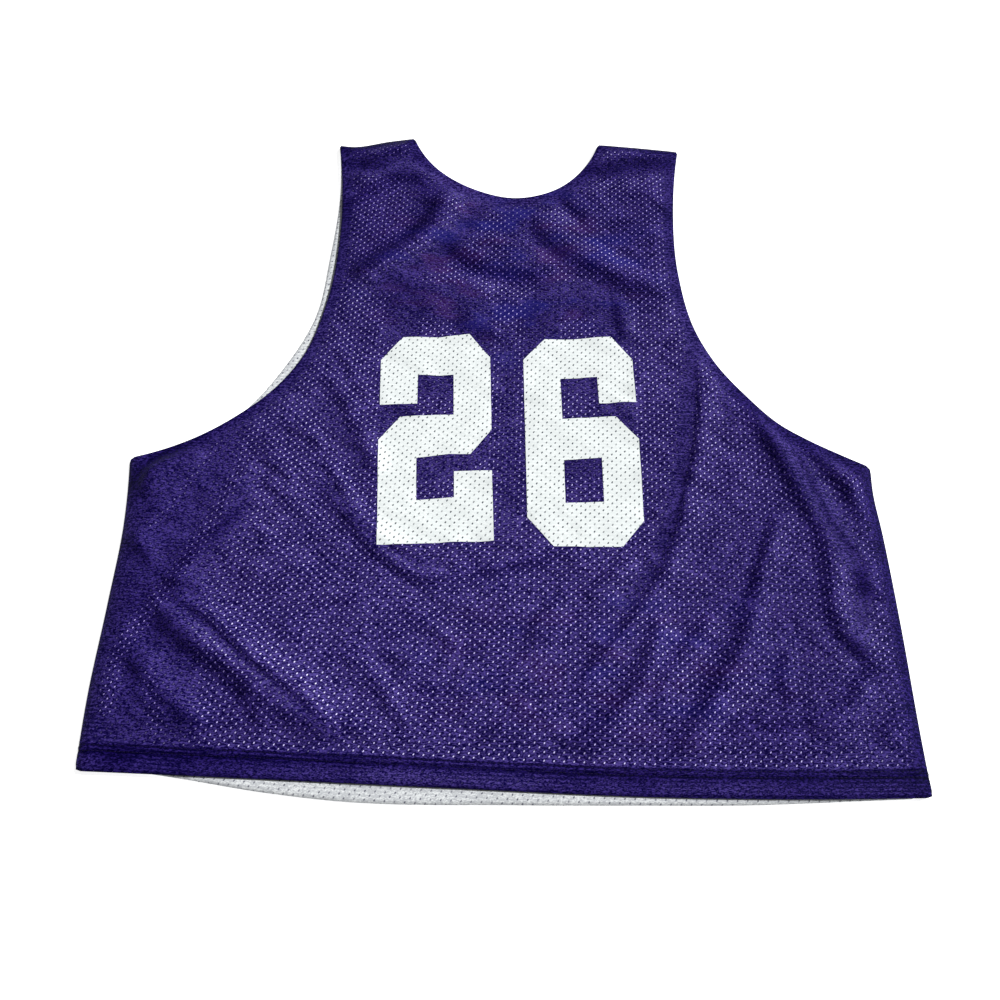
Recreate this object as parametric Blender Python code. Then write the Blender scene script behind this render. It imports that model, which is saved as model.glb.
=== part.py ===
"""A sleeveless two-ply practice jersey, laid flat on its front.

Two plies of net knit, purple outside and white inside, make four panels that lie on each other:
front_outer on the surface, then front_inner, back_inner and back_outer on top. The origin is on
the surface under the middle of the garment. +X runs along the hem, +Y to the shoulders, +Z up.
"""

import math
from collections import namedtuple

import bpy
import numpy as np
from mathutils.geometry import delaunay_2d_cdt

# ---------------------------------------------------------------- cloth, in metres
WALL = 0.001  # one ply
HEM_PLY = 0.0004  # what the turned-up ply adds to a hem's height
HEM_DEPTH = 0.022  # from a hem's edge to its upper stitch line
HEM_STEP = 0.0012  # width of the step where the turned-up ply ends
SEAM_GAP = 0.0003  # between two panels at a seam
PITCH = WALL + HEM_PLY + SEAM_GAP  # from one panel's underside to the next one's
LIP = 0.0006  # an edge rounds off over this width
LIP_SHARE = 0.45  # share of the wall left at the very edge
CORNER = 0.005  # a corner is rounded off from this far on each side
LOFT = 0.003  # the top panel bellies this far above the flat ones
CALM = 0.022  # folds die away over this width next to an edge

# ---------------------------------------------------------------- mesh spacing
CURVE_STEP = 0.002  # between the points of a curve before it is cut to its panel
MERGE = 1e-6  # points nearer than this are one
ROLL_SHARES = (0.4, 1.0)  # rows of points across a rolled border, as shares of its width
NEAR_SHARE = 0.9  # a point may be this share of its inset from an edge
LATTICE_CLEAR = 0.55  # the lattice stays this share of its pitch off other points
FOLD_STEP = 0.004  # between the points of a fold's path
FOLD_ROW_STEP = 0.009  # between the panel's points along a fold
FOLD_ROW_CLEAR = 0.004  # two folds' points are no nearer than this
FOLD_FEET = (-1.5, 0.0, 1.5)  # rows of points across a fold, in widths of its flanks from the crest

# ---------------------------------------------------------------- outlines
# Each edge is a smooth curve through its own points, anticlockwise from the hem's left end, and
# starts where the edge before it ends. They and the folds are measured from the middle of the
# number, and MIDDLE, the middle of the whole outline, is put at the origin.
MIDDLE = (0.00125, 0.00125)
Edge = namedtuple("Edge", "kind points")

HEM_LEFT, HEM_RIGHT = (-0.3265, -0.2940), (0.3295, -0.3140)
PIT_LEFT, PIT_RIGHT = (-0.3215, -0.0305), (0.3205, -0.0400)
TIP_LEFT, TIP_RIGHT = (-0.1600, 0.3140), (0.1765, 0.3055)
NECK_LEFT, NECK_RIGHT = (-0.0860, 0.3225), (0.0980, 0.3145)

SIDE_RIGHT = Edge(
    "side",
    (HEM_RIGHT, (0.3277, -0.270), (0.3256, -0.180), (0.3222, -0.100), (0.3195, -0.060), PIT_RIGHT),
)
SHOULDER_RIGHT = Edge("shoulder", (TIP_RIGHT, (0.134, 0.3108), NECK_RIGHT))
SHOULDER_LEFT = Edge("shoulder", (NECK_LEFT, (-0.110, 0.3187), (-0.149, 0.3122), TIP_LEFT))
SIDE_LEFT = Edge("side", (PIT_LEFT, (-0.3182, -0.090), (-0.3216, -0.162), (-0.3263, -0.240), HEM_LEFT))

BACK = (
    Edge("hem", (HEM_LEFT, (-0.187, -0.300), (-0.034, -0.307), (0.118, -0.3135), HEM_RIGHT)),
    SIDE_RIGHT,
    Edge(
        "armhole",
        (PIT_RIGHT, (0.295, -0.0275), (0.268, -0.013), (0.246, 0.0015), (0.218, 0.031))
        + ((0.195, 0.062), (0.180, 0.093), (0.167, 0.160), (0.167, 0.230), TIP_RIGHT),
    ),
    SHOULDER_RIGHT,
    Edge(
        "neck",
        (NECK_RIGHT, (0.086, 0.288), (0.054, 0.257), (0.015, 0.247))
        + ((-0.024, 0.257), (-0.066, 0.2875), NECK_LEFT),
    ),
    SHOULDER_LEFT,
    Edge(
        "armhole",
        (TIP_LEFT, (-0.153, 0.243), (-0.153, 0.192), (-0.161, 0.1255), (-0.1785, 0.070))
        + ((-0.201, 0.038), (-0.2335, 0.0095), (-0.2665, -0.011), (-0.2995, -0.0245), PIT_LEFT),
    ),
    SIDE_LEFT,
)

# The front's neck is cut deeper, its hem hangs lower and its left armhole lies further out.
FRONT = (
    Edge(
        "hem",
        (HEM_LEFT, (-0.290, -0.2938), (-0.2485, -0.2990), (-0.186, -0.309), (-0.125, -0.3160))
        + ((0.011, -0.3190), (0.102, -0.3193), (0.193, -0.3190), (0.281, -0.3158), HEM_RIGHT),
    ),
    SIDE_RIGHT,
    Edge(
        "armhole",
        (PIT_RIGHT, (0.294, -0.030), (0.267, -0.015), (0.244, 0.000), (0.216, 0.029))
        + ((0.193, 0.060), (0.178, 0.092), (0.165, 0.160), (0.165, 0.230), TIP_RIGHT),
    ),
    SHOULDER_RIGHT,
    Edge(
        "neck",
        (NECK_RIGHT, (0.083, 0.272), (0.050, 0.232), (0.008, 0.219))
        + ((-0.034, 0.230), (-0.068, 0.268), NECK_LEFT),
    ),
    SHOULDER_LEFT,
    Edge(
        "armhole",
        (TIP_LEFT, (-0.156, 0.257), (-0.161, 0.180), (-0.171, 0.111), (-0.1947, 0.061))
        + ((-0.231, 0.0125), (-0.268, -0.0135), (-0.298, -0.0265), PIT_LEFT),
    ),
    SIDE_LEFT,
)

# ---------------------------------------------------------------- panels
# How a panel ends at each kind of edge: how far inside the outline, how far it comes down there,
# and over what width it does so.
Border = namedtuple("Border", "inset fall roll")

# The top panel comes down over the other three to the seams with the bottom one, and its middle
# layer ends there at SEAM_HEIGHT.
TOP_LEVEL = 3 * PITCH
SEAM_HEIGHT = WALL + SEAM_GAP + LIP_SHARE * WALL / 2
SEAM_FALL = TOP_LEVEL + WALL / 2 - SEAM_HEIGHT

SEAM = Border(inset=0.0, fall=0.0, roll=0.002)  # the bottom panel's side or shoulder
TURNED = Border(inset=0.0027, fall=0.0, roll=0.002)  # it ends inside the ply turned over its edge
SHOWN = Border(inset=0.0, fall=0.0012, roll=0.0024)  # the front's white edge, turned over its purple
HIDDEN_HEM = Border(inset=0.0032, fall=0.0, roll=0.002)  # the back's white hem under its purple one
LOW_SIDE = Border(inset=0.0115, fall=0.0, roll=0.002)  # the front's white side, clear of the seam
LOW_SHOULDER = Border(inset=0.0095, fall=0.0, roll=0.002)
HIGH_SIDE = Border(inset=0.0115, fall=HEM_PLY, roll=0.004)  # the back's white side, bent down a little
HIGH_SHOULDER = Border(inset=0.0095, fall=HEM_PLY, roll=0.004)
TOP_HEM = Border(inset=0.0, fall=0.0018, roll=0.0030)
TOP_SIDE = Border(inset=0.0, fall=SEAM_FALL, roll=0.010)
TOP_SHOULDER = Border(inset=0.0, fall=SEAM_FALL, roll=0.008)
TOP_ROUND = Border(inset=0.0, fall=0.0013, roll=0.0024)  # the top panel's armholes and neck

# level is the height of a panel's underside, step the spacing of its outline's points, grid that
# of its lattice, and folded tells whether it takes up the folds.
Panel = namedtuple("Panel", "name edges level step grid folded colour borders")
PURPLE, WHITE = (0.038, 0.026, 0.147), (0.76, 0.79, 0.80)

PANELS = (
    Panel(
        "front_outer", FRONT, 0.0, 0.020, 0.034, False, PURPLE,
        {"hem": TURNED, "side": SEAM, "armhole": TURNED, "shoulder": SEAM, "neck": TURNED},
    ),
    Panel(
        "front_inner", FRONT, PITCH, 0.020, 0.034, False, WHITE,
        {"hem": SHOWN, "side": LOW_SIDE, "armhole": SHOWN, "shoulder": LOW_SHOULDER, "neck": SHOWN},
    ),
    Panel(
        "back_inner", BACK, 2 * PITCH, 0.020, 0.034, False, WHITE,
        {
            "hem": HIDDEN_HEM, "side": HIGH_SIDE, "armhole": TURNED,
            "shoulder": HIGH_SHOULDER, "neck": TURNED,
        },
    ),
    Panel(
        "back_outer", BACK, TOP_LEVEL, 0.012, 0.014, True, PURPLE,
        {
            "hem": TOP_HEM, "side": TOP_SIDE, "armhole": TOP_ROUND,
            "shoulder": TOP_SHOULDER, "neck": TOP_ROUND,
        },
    ),
)

# ---------------------------------------------------------------- folds of the top panel
# A fold's path runs along the middle of its steeper flank, whose width is dark. A crest stands on
# the side of the path that faces +X and +Y, as SIDE_WITH_CREST does, or for a minus a hollow on
# the other side, and bright is the width of the flank beyond.
Fold = namedtuple("Fold", "height dark bright path")
CREST_AZIMUTH = math.radians(25)
SIDE_WITH_CREST = np.array([math.cos(CREST_AZIMUTH), math.sin(CREST_AZIMUTH)])
CREST_SHARE = 0.7  # from a fold's path to its crest, as a share of the steep flank's width

FOLDS = (
    # lower left, running down to the hem
    Fold(
        0.0064, 0.011, 0.013,
        ((-0.292, -0.162), (-0.268, -0.183), (-0.224, -0.216), (-0.171, -0.251), (-0.127, -0.280)),
    ),
    Fold(0.0042, 0.008, 0.010, ((-0.303, -0.203), (-0.280, -0.226), (-0.258, -0.246), (-0.230, -0.262))),
    # left side
    Fold(0.0030, 0.008, 0.014, ((-0.270, -0.148), (-0.255, -0.119), (-0.241, -0.105), (-0.220, -0.084))),
    Fold(0.0034, 0.007, 0.011, ((-0.324, -0.103), (-0.304, -0.112), (-0.288, -0.130))),
    Fold(0.0066, 0.014, 0.020, ((-0.258, -0.016), (-0.280, -0.031), (-0.296, -0.050), (-0.306, -0.084))),
    # left of the number and round its foot
    Fold(
        0.0030, 0.008, 0.009,
        ((-0.162, 0.046), (-0.138, 0.018), (-0.130, -0.004), (-0.122, -0.020), (-0.106, -0.052)),
    ),
    Fold(
        0.0038, 0.007, 0.008,
        ((-0.154, -0.063), (-0.130, -0.088), (-0.113, -0.111), (-0.099, -0.124), (-0.059, -0.143))
        + ((-0.040, -0.141), (-0.026, -0.127)),
    ),
    # low in the middle
    Fold(0.0022, 0.008, 0.012, ((-0.004, -0.222), (0.022, -0.200), (0.056, -0.172))),
    # the long curve right of the number
    Fold(
        0.0034, 0.006, 0.013,
        ((0.176, 0.076), (0.176, 0.040), (0.1725, 0.0025), (0.166, -0.0325), (0.1575, -0.060))
        + ((0.149, -0.095), (0.135, -0.125), (0.122, -0.147)),
    ),
    Fold(0.0036, 0.007, 0.011, ((0.146, -0.114), (0.1165, -0.158), (0.0845, -0.199), (0.056, -0.233))),
    Fold(
        0.0048, 0.008, 0.012,
        ((0.1235, -0.170), (0.1165, -0.202), (0.105, -0.228), (0.090, -0.246), (0.056, -0.274)),
    ),
    Fold(0.0030, 0.007, 0.010, ((0.174, -0.166), (0.152, -0.192), (0.133, -0.216), (0.116, -0.252))),
    # down from the right armhole
    Fold(0.0040, 0.007, 0.012, ((0.229, -0.084), (0.222, -0.105), (0.212, -0.132), (0.203, -0.162))),
    Fold(
        0.0054, 0.010, 0.010,
        ((0.206, -0.148), (0.195, -0.180), (0.187, -0.200), (0.170, -0.226), (0.130, -0.282)),
    ),
    Fold(
        0.0048, 0.008, 0.012,
        ((0.196, 0.052), (0.217, 0.020), (0.227, -0.007), (0.240, -0.040), (0.260, -0.090), (0.271, -0.114)),
    ),
    Fold(
        0.0042, 0.008, 0.012,
        ((0.260, -0.096), (0.267, -0.115), (0.266, -0.150), (0.272, -0.188), (0.286, -0.204), (0.298, -0.230)),
    ),
    Fold(0.0050, 0.009, 0.011, ((0.252, -0.010), (0.272, -0.035), (0.285, -0.052), (0.303, -0.092))),
    Fold(0.0022, 0.009, 0.012, ((0.294, -0.132), (0.297, -0.146), (0.298, -0.160))),
    # lower right
    Fold(0.0022, 0.007, 0.008, ((0.232, -0.198), (0.222, -0.214), (0.221, -0.232), (0.228, -0.248))),
    Fold(0.0036, 0.007, 0.009, ((0.284, -0.220), (0.272, -0.240), (0.254, -0.252), (0.236, -0.256))),
    Fold(0.0033, 0.007, 0.008, ((0.324, -0.246), (0.306, -0.255), (0.290, -0.274))),
    # upper left chest and strap
    Fold(0.0070, 0.012, 0.016, ((-0.142, 0.158), (-0.110, 0.178), (-0.078, 0.205), (-0.058, 0.256))),
    Fold(-0.0035, 0.010, 0.010, ((-0.150, 0.232), (-0.120, 0.250), (-0.094, 0.268), (-0.072, 0.256))),
    Fold(0.0038, 0.009, 0.010, ((-0.122, 0.280), (-0.108, 0.296), (-0.088, 0.300), (-0.070, 0.284))),
    # across the chest
    Fold(-0.0037, 0.009, 0.012, ((-0.058, 0.194), (-0.028, 0.170), (0.006, 0.159), (0.048, 0.154))),
    Fold(0.0047, 0.010, 0.016, ((0.058, 0.180), (0.088, 0.159), (0.118, 0.143), (0.150, 0.133))),
    # right strap
    Fold(-0.0045, 0.011, 0.013, ((0.076, 0.276), (0.107, 0.280), (0.136, 0.289), (0.170, 0.287))),
)


# ---------------------------------------------------------------- lines of points
def curve(knots, step):
    """Points along a smooth curve through a few knots, about `step` apart."""
    knots = np.array(knots) - MIDDLE
    place = lengths(knots)
    slope = np.gradient(knots, place, axis=0, edge_order=2)
    count = math.ceil(place[-1] / step)
    where = np.linspace(0.0, place[-1], count)
    span = np.clip(np.searchsorted(place, where, side="right") - 1, 0, len(knots) - 2)
    width = (place[span + 1] - place[span])[:, None]
    t = (where - place[span])[:, None] / width
    start = (1 + 2 * t) * (1 - t) ** 2 * knots[span] + t * (1 - t) ** 2 * width * slope[span]
    end = t**2 * (3 - 2 * t) * knots[span + 1] + t**2 * (t - 1) * width * slope[span + 1]
    return start + end


def lengths(line):
    """How far along a line of points each of them is."""
    return np.concatenate([[0.0], np.cumsum(np.linalg.norm(np.diff(line, axis=0), axis=1))])


def at(line, places, where):
    """The points of a line at some places, measured as `places` measures its own points."""
    return np.stack([np.interp(where, places, line[:, 0]), np.interp(where, places, line[:, 1])], axis=1)


def inward(line):
    """Unit normals on the left of a line of points, which is inside an anticlockwise outline."""
    along = np.gradient(line, axis=0)
    along /= np.linalg.norm(along, axis=1)[:, None]
    return np.stack([-along[:, 1], along[:, 0]], axis=1)


def cross(a, b):
    return a[..., 0] * b[..., 1] - a[..., 1] * b[..., 0]


def crossing(first, second):
    """Where two lines of points cross, as a place on each, counted in points."""
    p, r = first[:-1, None], np.diff(first, axis=0)[:, None]
    q, s = second[None, :-1], np.diff(second, axis=0)[None]
    t = cross(q - p, s) / cross(r, s)
    u = cross(q - p, r) / cross(r, s)
    hits = np.argwhere((t > -MERGE) & (t < 1 + MERGE) & (u > -MERGE) & (u < 1 + MERGE))
    i, j = hits[0]
    return i + t[i, j], j + u[i, j]


def beside(points, line):
    """How far along a line each point's nearest place is, from 0 to 1, and how far to the left."""
    places = lengths(line)
    near = np.full(len(points), np.inf)
    along = np.zeros(len(points))
    left = np.ones(len(points))
    for place, start, run in zip(places, line[:-1], np.diff(line, axis=0)):
        share = np.clip((points - start) @ run / (run @ run), 0.0, 1.0)
        offset = points - start - share[:, None] * run
        away = np.linalg.norm(offset, axis=1)
        closer = away < near
        near[closer] = away[closer]
        along[closer] = place + share[closer] * math.hypot(*run)
        left[closer] = np.where(cross(run, offset[closer]) < 0, -1.0, 1.0)
    return along / places[-1], near * left


def distance(points, line):
    """How far each point is from a line of points."""
    return abs(beside(points, line)[1])


def thinned(points, apart):
    """The points, less those that lie too near to one before them."""
    kept = points[:1]
    for point in points[1:]:
        if np.linalg.norm(kept - point, axis=1).min() > apart:
            kept = np.vstack([kept, point])
    return kept


# ---------------------------------------------------------------- a panel's flat plan
def edge_lines(panel):
    """Each edge of a panel as its kind and a line of points, moved in and cut where it meets the next."""
    longest = 2 * max(border.inset for border in panel.borders.values()) + CORNER
    lines = []
    for edge in panel.edges:
        line = curve(edge.points, CURVE_STEP)
        line = line + inward(line) * panel.borders[edge.kind].inset
        first, last = line[0] - line[1], line[-1] - line[-2]
        before = line[0] + first / np.linalg.norm(first) * longest
        after = line[-1] + last / np.linalg.norm(last) * longest
        lines.append(np.vstack([before, line, after]))
    meets = [crossing(lines[i - 1], lines[i]) for i in range(len(lines))]
    cut = []
    for i, (edge, line) in enumerate(zip(panel.edges, lines)):
        start, end = meets[i][1], meets[(i + 1) % len(lines)][0]
        inner = np.arange(math.ceil(start + 0.5), math.floor(end - 0.5) + 1)
        where = np.concatenate([[start], inner, [end]])
        cut.append((edge.kind, at(line, np.arange(len(line)), where)))
    return cut


def outline(lines, step):
    """The closed loop of an outline's points, about `step` apart, with each point's kind of edge."""
    loop, kinds = [], []
    for i, (kind, line) in enumerate(lines):
        places = lengths(line)
        count = max(2, round((places[-1] - 2 * CORNER) / step) + 1)
        loop.append(at(line, places, np.linspace(CORNER, places[-1] - CORNER, count)))
        after = lines[(i + 1) % len(lines)][1]
        follow = at(after, lengths(after), [CORNER])[0]
        loop.append((loop[-1][-1:] + 2 * line[-1:] + follow) / 4)
        kinds += [kind] * (count + 1)
    return np.vstack(loop), kinds


def clear_of(points, lines, insets):
    """Which points are no nearer to each edge than that edge's own inset."""
    clear = np.ones(len(points), bool)
    for kind, line in lines:
        clear &= distance(points, line) > NEAR_SHARE * insets[kind]
    return clear


def border_rows(panel, lines, loop, kinds):
    """Rows of points inside the loop, which give the lip and the rolled border their form."""
    normal = inward(np.vstack([loop[-1:], loop, loop[:1]]))[1:-1]
    rows = []
    for share in (0.0,) + ROLL_SHARES:
        insets = {kind: LIP + share * border.roll for kind, border in panel.borders.items()}
        row = loop + normal * np.array([insets[kind] for kind in kinds])[:, None]
        rows.append(row[clear_of(row, lines, insets)])
    return rows


def hem_rows(panel, lines, insets):
    """Two rows of points, at the top and the foot of the step where the hem's inner ply ends."""
    rows = []
    line = lines[0][1]
    for depth in (HEM_DEPTH, HEM_DEPTH + HEM_STEP):
        row = line + inward(line) * depth
        places = lengths(row)
        row = at(row, places, np.arange(panel.step, places[-1], panel.step))
        rows.append(row[clear_of(row, lines, insets)])
    return rows


def fold_rows(panel, lines, insets):
    """Rows of points along the crest and the two feet of each fold."""
    rows = []
    for fold in FOLDS:
        path = curve(fold.path, FOLD_ROW_STEP)
        towards = inward(path) * side_with_crest(path)
        way = math.copysign(1.0, fold.height)
        for foot in FOLD_FEET:
            width = fold.dark if foot < 0.0 else fold.bright
            rows.append(path + towards * way * (CREST_SHARE * fold.dark + foot * width))
    clear = {kind: inset + FOLD_ROW_CLEAR for kind, inset in insets.items()}
    clear["hem"] = HEM_DEPTH + HEM_STEP + FOLD_ROW_CLEAR
    points = np.vstack(rows)
    return thinned(points[clear_of(points, lines, clear)], FOLD_ROW_CLEAR)


def lattice(panel, lines, loop, insets, others):
    """Points of a triangular lattice that fill the panel inside its border and between other points."""
    low, high = loop.min(axis=0), loop.max(axis=0)
    rise = panel.grid * math.sqrt(3) / 2
    points = []
    for row in range(int((high[1] - low[1]) / rise) + 1):
        start = low[0] + (row % 2) * panel.grid / 2
        xs = np.arange(start, high[0], panel.grid)
        points.append(np.stack([xs, np.full(len(xs), low[1] + row * rise)], axis=1))
    points = np.vstack(points)
    spread = {kind: inset + LATTICE_CLEAR * panel.grid for kind, inset in insets.items()}
    points = points[clear_of(points, lines, spread)]
    off_step = abs(distance(points, lines[0][1]) - HEM_DEPTH - HEM_STEP / 2) > LATTICE_CLEAR * panel.grid
    away = np.linalg.norm(points[:, None] - others[None], axis=2).min(axis=1, initial=np.inf)
    return points[off_step & (away > LATTICE_CLEAR * panel.grid)]


def plan(panel):
    """A panel's edges, flat points and triangles."""
    lines = edge_lines(panel)
    loop, kinds = outline(lines, panel.step)
    insets = {kind: LIP + border.roll for kind, border in panel.borders.items()}
    rows = [loop, *border_rows(panel, lines, loop, kinds)]
    rows += hem_rows(panel, lines, insets)
    along_folds = fold_rows(panel, lines, insets) if panel.folded else np.empty((0, 2))
    rows += [along_folds, lattice(panel, lines, loop, insets, along_folds)]
    found, _, faces, *_ = delaunay_2d_cdt(np.vstack(rows).tolist(), [], [range(len(loop))], 1, MERGE)
    used, faces = np.unique(np.array(faces), return_inverse=True)
    return lines, np.array([tuple(point) for point in found])[used], faces.reshape(-1, 3)


# ---------------------------------------------------------------- a panel's form
def side_with_crest(path):
    """Whether the side of a fold's path that faces as SIDE_WITH_CREST does is on its left, 1, or not, -1."""
    return math.copysign(1.0, cross(path[-1] - path[0], SIDE_WITH_CREST))


def swell(points, fold):
    """How far one fold lifts or dips the cloth."""
    path = curve(fold.path, FOLD_STEP)
    along, left = beside(points, path)
    way = math.copysign(1.0, fold.height)
    past = (left * side_with_crest(path) - way * CREST_SHARE * fold.dark) * way
    width = np.where(past < 0.0, fold.dark, fold.bright)
    run_out = 1.0 - abs(2.0 * along - 1.0) ** 4
    return fold.height * run_out * np.exp(-((past / width) ** 2))


def relief(points):
    """How far the folds lift the top panel."""
    height = LOFT + sum(swell(points, fold) for fold in FOLDS)
    return np.maximum(height, 0.0)


def ease(share):
    """A soft step from 0 to 1."""
    share = np.clip(share, 0.0, 1.0)
    return share * share * (3.0 - 2.0 * share)


def form(panel, lines, points):
    """The height of a panel's middle layer, its half thickness and the hem's extra ply at some points."""
    near = [(kind, distance(points, line)) for kind, line in lines]
    fall = np.zeros(len(points))
    for kind, away in near:
        border = panel.borders[kind]
        fall = np.maximum(fall, border.fall * np.clip(1.0 - away / border.roll, 0.0, None) ** 2)
    quiet = np.min([away - (HEM_DEPTH if kind == "hem" else 0.0) for kind, away in near], axis=0)
    lift = relief(points) * ease(quiet / CALM) if panel.folded else 0.0
    edge = np.min([away for _, away in near], axis=0)
    half = WALL / 2 * (LIP_SHARE + (1.0 - LIP_SHARE) * np.clip(edge / LIP, 0.0, 1.0))
    hem = HEM_PLY * np.clip((HEM_DEPTH + HEM_STEP - near[0][1]) / HEM_STEP, 0.0, 1.0)
    hem *= np.clip(edge / LIP, 0.0, 1.0)
    return panel.level + WALL / 2 + lift - fall, half, hem


def normals(points, faces):
    """Unit normals of a surface at its points."""
    corners = points[faces]
    flat = np.cross(corners[:, 1] - corners[:, 0], corners[:, 2] - corners[:, 0])
    total = np.zeros_like(points)
    for corner in range(3):
        np.add.at(total, faces[:, corner], flat)
    return total / np.linalg.norm(total, axis=1)[:, None]


def rim_edges(faces):
    """The edges on the open border of a surface, each in its own triangle's direction."""
    edges = {(a, b) for face in faces for a, b in zip(face, (face[1], face[2], face[0]))}
    return [(a, b) for a, b in edges if (b, a) not in edges]


def panel_mesh(panel):
    """A panel as a closed wall: its upper side, its underside and the rim that joins them."""
    lines, flat, faces = plan(panel)
    middle, half, hem = form(panel, lines, flat)
    surface = np.column_stack([flat, middle])
    normal = normals(surface, faces)
    upper = surface + normal * (half + hem)[:, None]
    under = surface - normal * half[:, None]
    count = len(flat)
    rim = [(a, a + count, b + count, b) for a, b in sorted(rim_edges(faces.tolist()))]
    mesh = bpy.data.meshes.new(panel.name)
    points = np.vstack([upper, under]).tolist()
    mesh.from_pydata(points, [], faces.tolist() + (faces[:, ::-1] + count).tolist() + rim)
    mesh.shade_smooth()
    return mesh


def cloth_material(panel):
    """Matt knitted polyester in the panel's colour."""
    material = bpy.data.materials.new(panel.name)
    material.use_nodes = True
    shader = material.node_tree.nodes["Principled BSDF"]
    shader.inputs["Base Color"].default_value = (*panel.colour, 1.0)
    shader.inputs["Roughness"].default_value = 0.75
    shader.inputs["Metallic"].default_value = 0.0
    return material


def clear_scene():
    for thing in list(bpy.data.objects):
        bpy.data.objects.remove(thing)


def main():
    clear_scene()
    for panel in PANELS:
        piece = bpy.data.objects.new(panel.name, panel_mesh(panel))
        piece.data.materials.append(cloth_material(panel))
        bpy.context.collection.objects.link(piece)


main()
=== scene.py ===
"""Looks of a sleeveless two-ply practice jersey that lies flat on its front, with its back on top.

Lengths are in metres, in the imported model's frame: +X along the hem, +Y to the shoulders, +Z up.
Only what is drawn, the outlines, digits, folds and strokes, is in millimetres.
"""
import math
from collections import namedtuple

import bpy
import numpy as np
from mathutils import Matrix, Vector, noise
from mathutils.geometry import delaunay_2d_cdt


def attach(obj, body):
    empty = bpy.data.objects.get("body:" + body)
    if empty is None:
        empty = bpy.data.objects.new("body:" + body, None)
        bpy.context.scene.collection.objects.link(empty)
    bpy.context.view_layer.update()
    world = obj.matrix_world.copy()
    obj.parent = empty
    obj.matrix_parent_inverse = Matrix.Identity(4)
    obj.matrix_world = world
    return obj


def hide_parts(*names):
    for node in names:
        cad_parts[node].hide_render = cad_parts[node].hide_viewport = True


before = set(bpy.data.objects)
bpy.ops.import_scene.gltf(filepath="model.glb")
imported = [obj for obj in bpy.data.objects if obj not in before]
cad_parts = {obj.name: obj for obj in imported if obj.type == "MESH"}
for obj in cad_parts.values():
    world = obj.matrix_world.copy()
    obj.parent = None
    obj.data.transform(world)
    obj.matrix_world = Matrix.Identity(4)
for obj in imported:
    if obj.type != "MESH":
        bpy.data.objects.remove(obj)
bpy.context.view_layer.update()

# ---------------- cloth
WALL = 0.001  # one ply
HEM_PLY = 0.0004  # what the turned-up ply adds to a hem's height
HEM_DEPTH = 0.022  # from a hem's edge to its upper stitch line
HEM_STEP = 0.0012  # width of the step where the turned-up ply ends
SEAM_GAP = 0.0003  # between two panels at a seam
PITCH = WALL + HEM_PLY + SEAM_GAP  # from one panel's underside to the next one's
LIP = 0.0006  # an edge rounds off over this width
LIP_SHARE = 0.45  # share of the wall left at the very edge
CORNER = 0.005  # a corner is rounded off from this far on each side
LOFT = 0.003  # the top panel bellies this far above the flat ones
CALM = 0.022  # folds die away over this width next to an edge

# ---------------- mesh spacing
CURVE_STEP = 0.002  # between the points of a curve before it is cut to its panel
MERGE = 1e-6  # points nearer than this are one
ROLL_SHARES = (0.15, 0.35, 0.6, 1.0)  # rows of points across a rolled border, as shares of its width
NEAR_SHARE = 0.9  # a point may be this share of its inset from an edge
LATTICE_CLEAR = 0.55  # the lattice stays this share of its pitch off other points
FOLD_STEP = 0.006  # between the points of a fold's path

# ---------------- drawn lines
# Their points are in millimetres from the middle of the number. MIDDLE, in metres, is the middle
# of the whole outline, which is put at the origin.
MM = 1000  # in a metre
MIDDLE = (0.00125, 0.00125)
Fold = namedtuple("Fold", "height dark bright path")
Stroke = namedtuple("Stroke", "share width path")


def edge(kind, *points):
    """An edge of an outline: its kind and its points."""
    return kind, points


def folds(*rows):
    """Folds from rows in millimetres: a height, the dark and the bright flank's width, and a path."""
    return [Fold(height / MM, dark / MM, bright / MM, path) for height, dark, bright, *path in rows]


def strokes(*rows):
    """Soft strokes from rows of a share, a width in millimetres and a path."""
    return [Stroke(share, width / MM, path) for share, width, *path in rows]


# ---------------- outlines, as in the solids
# Each edge is a smooth curve through its own points, anticlockwise from the hem's left end, and
# starts where the edge before it ends.
HEM_LEFT, HEM_RIGHT = (-326.5, -294), (329.5, -314)
PIT_LEFT, PIT_RIGHT = (-321.5, -30.5), (320.5, -40)
TIP_LEFT, TIP_RIGHT = (-160, 314), (176.5, 305.5)
NECK_LEFT, NECK_RIGHT = (-86, 322.5), (98, 314.5)

SIDE_RIGHT = edge("side", HEM_RIGHT, (327.7, -270), (325.6, -180), (322.2, -100), (319.5, -60), PIT_RIGHT)
SHOULDER_RIGHT = edge("shoulder", TIP_RIGHT, (134, 310.8), NECK_RIGHT)
SHOULDER_LEFT = edge("shoulder", NECK_LEFT, (-110, 318.7), (-149, 312.2), TIP_LEFT)
SIDE_LEFT = edge("side", PIT_LEFT, (-318.2, -90), (-321.6, -162), (-326.3, -240), HEM_LEFT)

BACK = (
    edge("hem", HEM_LEFT, (-187, -300), (-34, -307), (118, -313.5), HEM_RIGHT),
    SIDE_RIGHT,
    edge("armhole", PIT_RIGHT, (295, -27.5), (268, -13), (246, 1.5), (218, 31), (195, 62), (180, 93),
         (167, 160), (167, 230), TIP_RIGHT),
    SHOULDER_RIGHT,
    edge("neck", NECK_RIGHT, (86, 288), (54, 257), (15, 247), (-24, 257), (-66, 287.5), NECK_LEFT),
    SHOULDER_LEFT,
    edge("armhole", TIP_LEFT, (-153, 243), (-153, 192), (-161, 125.5), (-178.5, 70), (-201, 38),
         (-233.5, 9.5), (-266.5, -11), (-299.5, -24.5), PIT_LEFT),
    SIDE_LEFT,
)

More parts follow.
